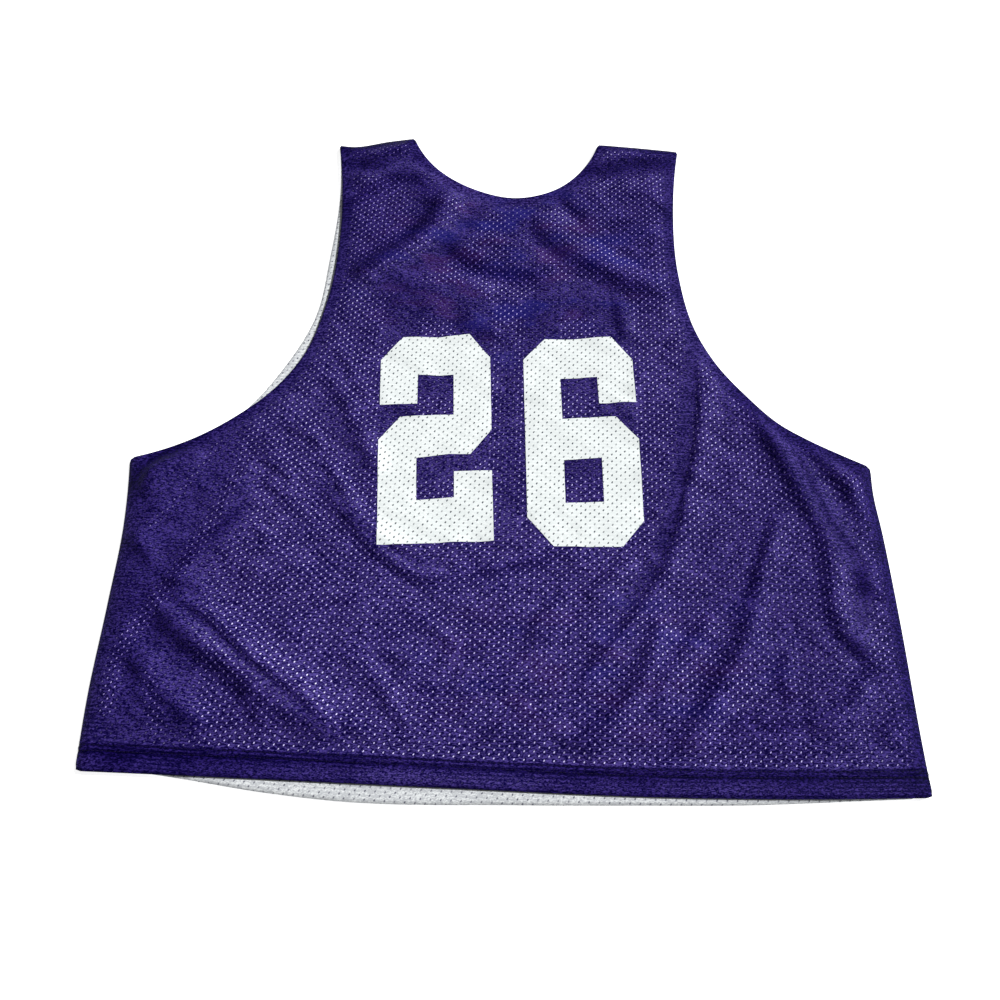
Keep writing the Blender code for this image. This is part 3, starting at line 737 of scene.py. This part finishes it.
def holes_shown(points):
    """How much of the holes' brightness each point of the top panel shows."""
    shown = np.ones(len(points))
    for patch in PATCHES:
        close, amount = covered(points, patch, PATCH_REACH, PATCH_POWER)
        shown[close] += (patch.share - shown[close]) * amount
    mirrored = np.stack([2 * GHOST_MIDDLE - points[:, 0], points[:, 1] - GHOST_RISE], axis=1)
    ghost = within(mirrored, DIGIT_2) | (within(mirrored, DIGIT_6) & ~within(mirrored, EYE_6))
    shown[ghost] *= GHOST_SHOWN
    return shown


def plain_strips(near, edge_share, hem_share):
    """The holes fade to a share of their brightness along a panel's edges, and on its hem."""
    seam = nearest(near, "side", "armhole", "shoulder", "neck")
    middle = edge_share + (1.0 - edge_share) * ease((seam - BARE_EDGE) / BARE_FADE)
    hem = ease((near[0][1] - HEM_DEPTH) / HEM_STEP)
    return middle * (hem_share + (1.0 - hem_share) * hem)


# ---------------- painted shade and highlights
# Painted shade darkens the yarn by a share where creases too fine for the relief, edges and wide
# areas lie in shade, and a minus is a painted highlight that brightens it.
SHADE_REACH, SHADE_POWER = 2.5, 2  # as for the holes
PAINTED_EDGE_SHADE, EDGE_REACH = 0.50, 0.0019  # painted shade along a panel's edges, where they roll away from the light
PAINTED_SHOULDER_SHADE, SHOULDER_REACH, SHOULDER_POWER = 0.80, 0.0080, 4  # and painted shade along its shoulders, where they roll over
WHITE_SHADE = 0.4  # share of it on the white plies
PAINTED_CREASE_SHADE = 0.25  # painted shade in the steep flank of each fold that is CREASE_HEIGHT high or more, less on lower ones
CREASE_HEIGHT = 0.004
CREASE_WIDTH = 0.8  # in widths of that flank
PAINTED_SLOPE_SHADING = 0.9  # how strongly painted shade and painted light follow a slope from or to the light

PAINTED_SHADING = strokes(
    # along the edges
    (0.66, 19, (329, -300), (327.7, -270), (325.6, -180), (322.2, -100), (319.5, -55)),
    (0.48, 14, (312, -37), (292, -29), (266, -16), (244, -2), (215, 30)),
    (0.6, 7, (-92, 313), (-110, 309.7), (-149, 303.2), (-158, 304)),
    # over wide areas
    (0.18, 85, (-90, 170), (100, 170)),
    (0.18, 50, (-125, 300), (-120, 210)),
    (0.22, 50, (145, 290), (135, 200)),
    (0.26, 60, (-280, -10), (-295, -140), (-280, -270)),
    (0.15, 85, (225, -60), (225, -240)),
    # on the hem
    (0.55, 9, (-300, -285), (-288, -286)),
    (0.38, 10, (-246, -288), (-205, -290)),
    (0.25, 9, (-190, -291), (-172, -292)),
    (-0.38, 11, (-100, -296), (-40, -298), (24, -301)),
    (0.22, 8, (60, -302), (72, -303)),
    (0.35, 8, (98, -304), (112, -305)),
    (-0.15, 10, (135, -305), (195, -306)),
    (0.25, 9, (222, -305), (236, -305)),
    # right strap
    (0.42, 10, (85, 279), (107, 280), (125, 287), (147, 290), (165, 288)),
    (-0.3, 4, (97, 295), (130, 301), (162, 296)),
    (-0.3, 6, (95, 266), (120, 257), (140, 266), (160, 271)),
    (0.25, 5, (82, 246), (87, 241)),
    (0.22, 5, (105, 211), (135, 209), (146, 190)),
    (0.22, 6, (155, 233), (161, 222)),
    # right chest
    (0.38, 4.5, (61, 242), (80, 222)),
    (-0.3, 6, (40, 237), (60, 217), (70, 210)),
    (0.3, 6.5, (32, 217), (45, 192), (60, 182)),
    (-0.28, 7.5, (72, 195), (92, 185), (115, 167)),
    (-0.25, 6, (35, 180), (47, 172)),
    (-0.3, 8.5, (47, 155), (77, 142)),
    (0.32, 7, (70, 170), (85, 160), (105, 150), (145, 135)),
    (0.18, 8, (20, 109), (75, 109)),
    (0.28, 4, (107, 125), (110, 90)),
    (-0.28, 5, (115, 125), (120, 95)),
    # left chest
    (0.42, 10, (-124, 168), (-95, 189), (-69, 215), (-61, 246)),
    (-0.25, 12, (-132, 131), (-114, 155), (-82, 179), (-46, 194)),
    (0.38, 7.5, (-51, 189), (-30, 171), (-6, 158), (37, 155)),
    (-0.28, 8, (-12, 144), (22, 136)),
    (0.18, 10, (-100, 124), (-77, 142)),
    (0.2, 8, (-33, 100), (-6, 90)),
    (-0.2, 10, (-40, 246), (-26, 242)),
    # left strap
    (0.3, 8, (-152, 286), (-136, 286)),
    (0.35, 6, (-114, 286), (-95, 301), (-77, 288)),
    (0.3, 6.5, (-152, 258), (-138, 258)),
    (0.45, 6, (-146, 242), (-122, 256), (-100, 270), (-80, 266), (-74, 252)),
    (-0.35, 4.5, (-148, 252), (-120, 272), (-93, 284), (-58, 262)),
    (0.25, 6, (-148, 236), (-148, 212)),
    # left side
    (0.66, 8.5, (-276, -21), (-290, -28), (-302, -38), (-314, -54)),
    (0.4, 4, (-184, 60), (-203, 34), (-233.5, 6), (-262, -12)),
    (-0.3, 2.8, (-246, -183), (-220, -200.5), (-196, -216), (-178, -230.5), (-164, -245)),
    (0.25, 6, (-268, -147), (-255, -119), (-241, -105), (-226, -88)),
    (0.2, 4, (-148, -166), (-130, -160), (-114, -155)),
    (0.2, 6, (-168, -174), (-160, -191)),
    (0.2, 4, (-205, -177), (-196, -187)),
    (0.2, 4, (-141, -208), (-113, -201)),
    (0.2, 7, (-205, -235), (-188, -260)),
    # low in the middle
    (0.25, 4, (-100, -191), (-85, -191)),
    (0.2, 4, (-62, -234), (-40, -232), (-24, -237)),
    (0.3, 5, (-15, -137.5), (3, -133), (40, -126)),
    (-0.15, 9, (-300, -268), (-187, -274), (-34, -281), (118, -287), (310, -287)),
    # right side
    (0.2, 5, (191, -257.5), (166, -275)),
    (0.35, 8, (296, -140), (298, -154)),
    (-0.25, 14, (300, -168), (299, -192)),
    (0.35, 6, (209, -260), (225, -260)),
    (0.25, 6, (180, -255), (190, -255)),
    (0.22, 5, (227, -205), (220, -225), (227, -245)),
    (-0.2, 6, (255, -215), (280, -212)),
    (-0.3, 5, (230, -200), (195, -240), (170, -260)),
)


def tone(points, near, panel):
    """The share of its colour's brightness that each point of a panel keeps: painted shade and painted
    highlights, with the darker hem.
    """
    # painted shade along the edges and the shoulders, where the cloth rolls away from the light
    kept = 1.0 - PAINTED_EDGE_SHADE * bell(nearest(near), EDGE_REACH)
    kept *= 1.0 - PAINTED_SHOULDER_SHADE * bell(nearest(near, "shoulder"), SHOULDER_REACH, SHOULDER_POWER)
    # the hem is darker, partly its doubled cloth and partly painted shade, with painted shade and highlights
    # along its lines
    depth = near[0][1]
    hem = np.full(len(points), HEM_TONE)
    for line in HEM_LINES:
        hem += line.tone * bell(depth - line.depth, line.width)
    kept *= hem + (1.0 - hem) * ease((depth - HEM_TONE_END) / HEM_STEP)
    if panel.name != PRINTED:
        return 1.0 + WHITE_SHADE * (kept - 1.0) if panel.slot == "white_net" else kept
    # painted shade in each fold's steep flank, and the strokes' painted shade and highlights
    creases = [
        Stroke(PAINTED_CREASE_SHADE * min(1.0, abs(fold.height) / CREASE_HEIGHT), CREASE_WIDTH * fold.dark, fold.path)
        for fold in FOLDS
    ]
    for shade in PAINTED_SHADING + creases:
        close, amount = covered(points, shade, SHADE_REACH, SHADE_POWER)
        kept[close] *= 1.0 - shade.share * amount
    # painted shade round the print's edges
    for loop in (DIGIT_2, DIGIT_6, EYE_6):
        away = distance(points, closed(loop))
        kept *= 1.0 - PAINTED_PRINT_SHADE * np.clip(1.0 - away / PRINT_REACH, 0.0, 1.0)
    return kept


def painted_slope_shading(normal, near):
    """Painted shade and light by slope: the cloth is painted darker and deeper in colour on the flanks of
    folds that are turned from the light, and lighter on those turned to it.
    """
    return np.exp(PAINTED_SLOPE_SHADING * (normal[:, :2] @ LIGHT_SIDE) * ease(nearest(near) / CALM))


# ---------------- materials
# The net's holes lie in rows, every other row half a pitch along. Its grain is turned and bowed
# a little, as the plies were cut.
ROW_PITCH = 0.00750  # between holes of a row
ROW_PAIR = 0.00648  # between one row and the next but one
GRAIN_LEAN, GRAIN_LEAN_BOW = -0.042, 0.11  # how the lines of holes up the cloth lean and bow
GRAIN_TURN, GRAIN_BOW = 0.045, -0.0975  # how the rows turn and bow
WOBBLE, WOBBLE_NOISE = 0.00045, 45.0  # the grain wanders by this
HOLE_LEAN = 0.35  # a hole's long axis leans by this
HOLE_LENGTH = 1.45  # a hole's length in widths
HOLE_RIM = (1.2, 0.75)  # a hole fades in from the first to the second, in its radii
HALO_RIM = (2.4, 1.1)  # and so does the change in the yarn round it
HOLE_NOISE, HOLE_RANGE, HOLE_LEAST = 110.0, (0.25, 0.62), 0.55  # how unevenly bright the holes are

# The yarn's light and dark places are two sizes of noise, drawn out along the rows. Where a third
# noise is high, the rows are darker by ROW_SHADE, over ROW_SHADE_WIDTH in millimetres.
YARN_STRETCH = (0.62, 1.6, 1.0)
SPECKLE_NOISE, SPECKLE_SHARE = 900.0, 0.60
HEATHER_NOISE, HEATHER_SHARE = 440.0, 0.40
YARN_RANGE = (0.43, 0.59)
WORN_NOISE, WORN_RANGE = 36.0, (0.40, 0.60)
ROW_SHADE, ROW_SHADE_WIDTH = 0.85, 1.2

NET_ROUGHNESS, NET_GLOSS = 0.58, 0.02
HOLE_SINK, YARN_RISE = -0.8, 0.35  # in the bump, whose strength and depth follow
BUMP_STRENGTH, BUMP_DEPTH = 0.35, 0.0003

# An ink has its colour in the yarn's dark and light places and in the holes, how much is left of it
# round a hole, and the powers of the painted shading, which also holds the hem's darkness, that each
# of its channels is multiplied by, which make painted shade on the purple deeper in colour.
Ink = namedtuple("Ink", "dark light hole halo powers")
PURPLE = Ink((0.0020, 0.0003, 0.045), (0.0765, 0.0515, 0.272), (0.62, 0.54, 1.0), 0.30, (1.0, 1.2, 0.57))
WHITE = Ink((0.57, 0.59, 0.62), (0.90, 0.93, 0.94), (0.06, 0.06, 0.11), 0.80, (1.0, 1.0, 1.0))
PRINT = Ink((0.81, 0.86, 0.86), (0.92, 0.965, 0.96), (0.07, 0.08, 0.10), 0.97, (1.0, 1.0, 1.0))

# The purple's tints lie in streaks, each with its colour, its share and its range of the noise.
Cloud = namedtuple("Cloud", "color share range")
CLOUDS = (
    Cloud((0.014, 0.016, 0.200), 0.50, (0.52, 0.68)),
    Cloud((0.082, 0.020, 0.130), 0.24, (0.46, 0.33)),
)
CLOUD_NOISE, CLOUD_STRETCH, CLOUD_TURN = 20.0, (1.0, 2.4, 1.0), (0.0, 0.0, math.radians(55))


class Shader:
    """A material and short ways to add nodes to it."""

    def __init__(self, name):
        self.material = bpy.data.materials.new(name)
        self.material.use_nodes = True
        self.tree = self.material.node_tree
        self.surface = self.tree.nodes["Principled BSDF"]

    def put(self, socket, value):
        """Links a socket to another one, or sets it to a number or a colour."""
        if isinstance(value, bpy.types.NodeSocket):
            self.tree.links.new(value, socket)
        elif isinstance(value, tuple) and len(value) == 3 and len(socket.default_value) == 4:
            socket.default_value = (*value, 1.0)
        else:
            socket.default_value = value

    def node(self, kind, *values, **settings):
        """A node with its settings, and its inputs in their order."""
        node = self.tree.nodes.new(kind)
        for name, value in settings.items():
            setattr(node, name, value)
        for socket, value in zip(node.inputs, values):
            if value is not None:
                self.put(socket, value)
        return node

    def math(self, operation, *values):
        return self.node("ShaderNodeMath", *values, operation=operation).outputs[0]

    def times(self, first, second, plus=None):
        """A product, and what is added to it."""
        values = [first, second] if plus is None else [first, second, plus]
        return self.math("MULTIPLY" if plus is None else "MULTIPLY_ADD", *values)

    def step(self, value, start, end):
        """A soft step of a value, 0 at start and 1 at end."""
        node = self.node("ShaderNodeMapRange", value, start, end, interpolation_type="SMOOTHSTEP")
        return node.outputs[0]

    def blend(self, share, first, second, way="MIX"):
        node = self.node("ShaderNodeMix", data_type="RGBA", blend_type=way)
        self.put(node.inputs["Factor"], share)
        self.put(node.inputs[6], first)
        self.put(node.inputs[7], second)
        return node.outputs[2]

    def grit(self, place, scale, detail=2.0, color=False):
        """Noise, as a number or as a colour."""
        node = self.node("ShaderNodeTexNoise")
        self.put(node.inputs["Vector"], place)
        node.inputs["Scale"].default_value = scale
        node.inputs["Detail"].default_value = detail
        return node.outputs["Color" if color else "Fac"]

    def stored(self, name):
        """A number that paint() stored in the mesh."""
        node = self.node("ShaderNodeAttribute", attribute_name=name, attribute_type="GEOMETRY")
        return node.outputs["Fac"]

    def place(self):
        return self.node("ShaderNodeTexCoord").outputs["Object"]

    def finish(self, color, roughness, gloss):
        """Sets the surface and gives the material."""
        self.put(self.surface.inputs["Base Color"], color)
        self.surface.inputs["Roughness"].default_value = roughness
        self.surface.inputs["Specular IOR Level"].default_value = gloss
        return self.material


def hole_distance(shader, place):
    """How far the nearest hole's middle is, in millimetres across a hole, and its nearest row."""
    apart = shader.node("ShaderNodeSeparateXYZ", place)
    x, y = (shader.math("ADD", apart.outputs[axis], MIDDLE[axis]) for axis in (0, 1))
    wander = shader.node("ShaderNodeSeparateXYZ", shader.grit(place, WOBBLE_NOISE, detail=1.0, color=True))
    lean = shader.times(x, GRAIN_LEAN_BOW, GRAIN_LEAN)
    across = shader.times(y, lean, x)
    across = shader.times(wander.outputs[0], WOBBLE, across)
    turn = shader.times(x, GRAIN_BOW, GRAIN_TURN)
    up = shader.times(x, turn, y)
    up = shader.times(wander.outputs[1], WOBBLE, up)
    hole = course = None
    for shift in (0.0, 0.5):
        column = shader.math("FRACT", shader.times(across, 1 / ROW_PITCH, shift))
        row = shader.math("FRACT", shader.times(up, 1 / ROW_PAIR, shift))
        dy = shader.times(shader.math("SUBTRACT", row, 0.5), ROW_PAIR * MM)
        dx = shader.times(shader.math("SUBTRACT", column, 0.5), ROW_PITCH * MM)
        beside_row = shader.math("ABSOLUTE", dy)
        course = beside_row if course is None else shader.math("MINIMUM", course, beside_row)
        dx = shader.times(dy, -HOLE_LEAN, dx)
        dy = shader.math("DIVIDE", dy, HOLE_LENGTH)
        square = shader.math("ADD", shader.math("POWER", dx, 2.0), shader.math("POWER", dy, 2.0))
        away = shader.math("SQRT", square)
        hole = away if hole is None else shader.math("MINIMUM", hole, away)
    return hole, course


def yarn_tone(shader, place, course):
    """How light the yarn is, from 0 to 1: speckles and, in places, darker rows."""
    along = shader.node("ShaderNodeVectorMath", place, YARN_STRETCH, operation="MULTIPLY").outputs[0]
    speckle = shader.grit(along, SPECKLE_NOISE)
    heather = shader.grit(along, HEATHER_NOISE)
    speckle = shader.times(speckle, SPECKLE_SHARE)
    yarn = shader.step(shader.times(heather, HEATHER_SHARE, speckle), *YARN_RANGE)
    worn = shader.step(shader.grit(along, WORN_NOISE, detail=3.0), *WORN_RANGE)
    dash = shader.times(shader.step(course, ROW_SHADE_WIDTH, 0.0), worn)
    return shader.times(yarn, shader.times(dash, -ROW_SHADE, 1.0))


def clouded(shader, place, color):
    """A colour with faint streaks of other tints, where the cloth has them."""
    brushed = shader.node("ShaderNodeMapping", place, None, CLOUD_TURN, CLOUD_STRETCH)
    amount = shader.grit(brushed.outputs[0], CLOUD_NOISE, detail=3.0)
    patch = shader.stored("tint")
    for cloud in CLOUDS:
        share = shader.times(patch, shader.step(amount, *cloud.range))
        color = shader.blend(shader.times(share, cloud.share), color, cloud.color)
    return color


def net(name, ink, radius, tinted=False, shown=True):
    """A net knit: speckled yarn, with holes of a radius in millimetres, painted and pressed in."""
    shader = Shader(name)
    place = shader.place()
    away, course = hole_distance(shader, place)
    hole = shader.step(away, *(share * radius for share in HOLE_RIM))
    halo = shader.step(away, *(share * radius for share in HALO_RIM))
    yarn = yarn_tone(shader, place, course)
    yarn = shader.times(yarn, shader.times(halo, ink.halo - 1.0, 1.0))
    color = shader.blend(yarn, ink.dark, ink.light)
    if tinted:
        color = clouded(shader, place, color)
    strength = shader.step(shader.grit(place, HOLE_NOISE, detail=1.0), *HOLE_RANGE)
    strength = shader.times(strength, 1.0 - HOLE_LEAST, HOLE_LEAST)
    # how much the holes show, partly painted shade on the white ply under them
    if shown:
        strength = shader.times(strength, shader.stored("shown"))
    color = shader.blend(shader.times(hole, strength), color, ink.hole)
    # the painted shade and highlights, with the hem's darkness, multiply the colour
    if shown:
        powers = [shader.math("POWER", shader.stored("tone"), power) for power in ink.powers]
        kept = shader.node("ShaderNodeCombineColor", *powers).outputs[0]
        color = shader.blend(1.0, color, kept, "MULTIPLY")
    bump = shader.node("ShaderNodeBump")
    bump.inputs["Strength"].default_value = BUMP_STRENGTH
    bump.inputs["Distance"].default_value = BUMP_DEPTH
    depth = shader.times(hole, HOLE_SINK, shader.times(yarn, YARN_RISE))
    shader.put(bump.inputs["Height"], depth)
    shader.put(shader.surface.inputs["Normal"], bump.outputs[0])
    return shader.finish(color, NET_ROUGHNESS, NET_GLOSS)


TWIST_NOISE, TWIST_RANGE, TWIST_SHADE = 2400.0, (0.35, 0.65), 0.6
THREAD_ROUGHNESS, THREAD_GLOSS = 0.5, 0.2


def thread_material(name, color):
    """Twisted polyester sewing thread."""
    shader = Shader(name)
    twist = shader.step(shader.grit(shader.place(), TWIST_NOISE, detail=1.0), *TWIST_RANGE)
    dark = tuple(TWIST_SHADE * part for part in color)
    return shader.finish(shader.blend(twist, dark, color), THREAD_ROUGHNESS, THREAD_GLOSS)


# ---------------- pieces
SEAM_ALLOWANCE = 0.010
HEM_TURN = HEM_DEPTH + 0.003

MATERIALS = {
    "back_cloth": net("purple_net_back", PURPLE, 0.545, tinted=True),
    "front_cloth": net("purple_net_front", PURPLE, 0.50),
    "front_lining": net("white_net_front", WHITE, 0.60),
    "back_lining": net("white_net_back", WHITE, 0.60),
}
INK_MATERIAL = net("white_print", PRINT, 0.67, shown=False)
THREADS = {
    "purple_net": thread_material("purple_thread", (0.014, 0.007, 0.075)),
    "white_net": thread_material("white_thread", (0.74, 0.77, 0.77)),
}

# The places where the purple is tinted: their middle, half width and half height, and share.
TINTS = (((0.009, 0.164), (0.150, 0.110), 1.0), ((0.089, -0.216), (0.170, 0.080), 0.45))
TINT_LEAST = 0.06  # the share elsewhere
TINT_CORE, TINT_FADE = 1.6, 1.3  # how a place's share falls with the distance from its middle


def tint(points):
    """How strongly each point of the top panel is tinted."""
    amount = np.full(len(points), TINT_LEAST)
    for middle, size, share in TINTS:
        away = np.linalg.norm((points - np.array(middle)) / np.array(size), axis=1)
        amount = np.maximum(amount, share * ease(TINT_CORE - TINT_FADE * away))
    return amount


def finish_piece(piece, material):
    """Gives a piece its material and body."""
    piece.data.materials.append(material)
    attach(piece, "root")


def flat_area(lines, flat, faces):
    """The area that a panel is cut to, with its seam allowances and the hem's turned-up part."""
    corners = flat[faces]
    area = abs(cross(corners[:, 1] - corners[:, 0], corners[:, 2] - corners[:, 0])).sum() / 2
    for kind, line in lines:
        area += lengths(line)[-1] * (HEM_TURN if kind == "hem" else SEAM_ALLOWANCE)
    return area


def digit(name, flat, upper, normal, faces, loop, eye=None):
    """A printed digit, made of the cloth's own triangles, moved out."""
    middle = flat[faces].mean(axis=1)
    chosen = within(middle, loop)
    if eye is not None:
        chosen &= ~within(middle, eye)
    used, part = numbered_anew(faces[chosen])
    base = upper[used]
    out = normal[used]
    piece = wall(name, base + out * (INK_LIFT + INK), base + out * INK_LIFT, part)
    piece.data.set_sharp_from_angle(angle=SHARP)
    finish_piece(piece, INK_MATERIAL)
    return piece


STITCH, STITCH_GAP = 0.0029, 0.0005  # a stitch's length, and from one to the next
THREAD = 0.00034  # its diameter
THREAD_SIDES = 5
THREAD_RINGS = np.array([-1.0, -0.8, 0.0, 0.8, 1.0])  # places along a stitch, from its middle
THREAD_RISE = 0.3  # it lies this many diameters above the cloth
THREAD_SINK = 0.9  # and its ends go down by this many


def stitch_faces():
    """The faces of one stitch: a tube from ring to ring, closed at both ends."""
    faces = []
    last = THREAD_SIDES * (len(THREAD_RINGS) - 1)
    for ring in range(0, last, THREAD_SIDES):
        for side in range(THREAD_SIDES):
            a, b = ring + side, ring + (side + 1) % THREAD_SIDES
            faces.append((a, b, b + THREAD_SIDES, a + THREAD_SIDES))
    return faces + [tuple(range(THREAD_SIDES))[::-1], tuple(range(last, last + THREAD_SIDES))]


def stitches(panel, lines):
    """The two rows of thread on a hem's right side, joined into one mesh."""
    line = lines[0][1]
    turns = np.arange(THREAD_SIDES) * 2 * math.pi / THREAD_SIDES
    dip = THREAD_SINK * THREAD * (abs(THREAD_RINGS) == 1.0)
    points = []
    for depth in STITCH_DEPTHS:
        row = line + inward(line) * depth
        places = lengths(row)
        middles = np.arange(CORNER, places[-1] - CORNER, STITCH + STITCH_GAP)
        spans = middles[:, None] + THREAD_RINGS * STITCH / 2
        centres = at(row, places, spans.ravel())
        height, half, hem, _ = form(panel, lines, centres)
        level = height + half + hem if panel.face > 0 else height - half + THREAD_GROOVE
        level = level.reshape(spans.shape) + panel.face * (THREAD_RISE * THREAD - dip)
        x, y, z = np.column_stack([centres, level.ravel()]).T[:, :, None]
        rings = (x + 0 * turns, y + THREAD / 2 * np.cos(turns), z + THREAD / 2 * np.sin(turns))
        points.append(np.stack(rings, axis=-1).reshape(-1, 3))
    points = np.vstack(points).tolist()
    faces = [
        [start + corner for corner in face]
        for start in range(0, len(points), len(THREAD_RINGS) * THREAD_SIDES)
        for face in stitch_faces()
    ]
    piece = new_piece(panel.name + "_stitches", points, faces)
    finish_piece(piece, THREADS[panel.slot])
    return piece


def cloth(panel):
    """One panel of the jersey, with what is printed and sewn on it."""
    lines, flat, faces = plan(panel)
    height, half, hem, near = form(panel, lines, flat)
    surface = np.column_stack([flat, height])
    normal = normals(surface, faces)
    upper = surface + normal * (half + hem)[:, None]
    groove = thread_groove(near[0][1]) if panel.face < 0 else 0.0
    under = surface - normal * (half - groove)[:, None]
    piece = wall(panel.name, upper, under, faces)
    # where the holes show less, partly painted shade on the white ply under lifted cloth
    shown = holes_shown(flat) if panel.name == PRINTED else 1.0
    paint(piece, "shown", shown * plain_strips(near, *EDGE_AND_HEM[panel.slot]))
    # painted shade and highlights, also those that follow each slope to or from the light
    paint(piece, "tone", tone(flat, near, panel) * painted_slope_shading(normal, near))
    paint(piece, "tint", tint(flat))
    finish_piece(piece, MATERIALS[panel.name])
    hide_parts(panel.node)
    on_it = [stitches(panel, lines)]
    if panel.name == PRINTED:
        on_it.append(digit("number_2", flat, upper, normal, faces, DIGIT_2))
        on_it.append(digit("number_6", flat, upper, normal, faces, DIGIT_6, EYE_6))
    area = flat_area(lines, flat, faces)
    return piece


# ---------------- floor, light and camera
FLOOR_SIZE = 8.0
FLOOR_LEVEL = -0.0001  # a hair under the cloth, so that the two don't share a plane
FLOOR_GLOW = 0.8
FLOOR_TONES = ((0.955, 0.955, 0.955), (0.97, 0.97, 0.97))
FLOOR_NOISE, FLOOR_RANGE = 3.0, (0.2, 0.8)
FLOOR_ROUGHNESS = 0.9
WHITE_LIGHT = (1.0, 1.0, 1.0, 1.0)
WORLD_LIGHT = 0.17
SUN_HEIGHT = math.radians(42)
SUN_STRENGTH = 4.15
SUN_SOFTNESS = math.radians(8)
CAMERA_TILT = math.radians(22.3)  # from straight down
CAMERA_REACH = 0.856  # from the camera to the point that it looks at
CAMERA_AIM = (-MIDDLE[0], -0.068 - MIDDLE[1], 0.0)
CAMERA_SENSOR, CAMERA_LENS = 36.0, 36.0  # in millimetres
CAMERA_NEAR = 0.01


def floor():
    """A pale floor, which glows a little, as in a photo that is cut out on white."""
    half = FLOOR_SIZE / 2
    corners = [(-half, -half, 0), (half, -half, 0), (half, half, 0), (-half, half, 0)]
    piece = new_piece("floor", corners, [range(4)])
    piece.location.z = FLOOR_LEVEL
    shader = Shader("floor")
    shade = shader.step(shader.grit(shader.place(), FLOOR_NOISE), *FLOOR_RANGE)
    shader.surface.inputs["Emission Color"].default_value = WHITE_LIGHT
    shader.surface.inputs["Emission Strength"].default_value = FLOOR_GLOW
    piece.data.materials.append(shader.finish(shader.blend(shade, *FLOOR_TONES), FLOOR_ROUGHNESS, 0.0))


def lights():
    """A soft sun, and a dim white world that the camera sees as white as the floor."""
    world = bpy.data.worlds.new("studio")
    world.use_nodes = True
    nodes = world.node_tree.nodes
    dim = nodes["Background"]
    dim.inputs["Color"].default_value = WHITE_LIGHT
    dim.inputs["Strength"].default_value = WORLD_LIGHT
    full = nodes.new("ShaderNodeBackground")
    full.inputs["Color"].default_value = WHITE_LIGHT
    seen = nodes.new("ShaderNodeLightPath").outputs["Is Camera Ray"]
    either = nodes.new("ShaderNodeMixShader")
    for source, target in (
        (seen, either.inputs[0]),
        (dim.outputs[0], either.inputs[1]),
        (full.outputs[0], either.inputs[2]),
        (either.outputs[0], nodes["World Output"].inputs["Surface"]),
    ):
        world.node_tree.links.new(source, target)
    bpy.context.scene.world = world
    lamp = bpy.data.lights.new("key", "SUN")
    lamp.energy = SUN_STRENGTH
    lamp.angle = SUN_SOFTNESS
    key = bpy.data.objects.new("key", lamp)
    level = math.cos(SUN_HEIGHT)
    towards = Vector((level * LIGHT_SIDE[0], level * LIGHT_SIDE[1], math.sin(SUN_HEIGHT)))
    key.rotation_euler = towards.to_track_quat("Z", "Y").to_euler()
    bpy.context.collection.objects.link(key)


def camera():
    """The camera, tilted from straight down as in the photo."""
    lens = bpy.data.cameras.new("camera")
    lens.sensor_width = CAMERA_SENSOR
    lens.lens = CAMERA_LENS
    lens.clip_start = CAMERA_NEAR
    eye = bpy.data.objects.new("camera", lens)
    back = Vector((0.0, -math.sin(CAMERA_TILT), math.cos(CAMERA_TILT)))
    eye.location = Vector(CAMERA_AIM) + CAMERA_REACH * back
    eye.rotation_euler = (CAMERA_TILT, 0.0, 0.0)
    bpy.context.collection.objects.link(eye)
    bpy.context.scene.camera = eye


camera()
lights()
floor()
below = []
for panel in PANELS:
    below = [cloth(panel)]
bpy.context.scene.view_settings.view_transform = "Standard"
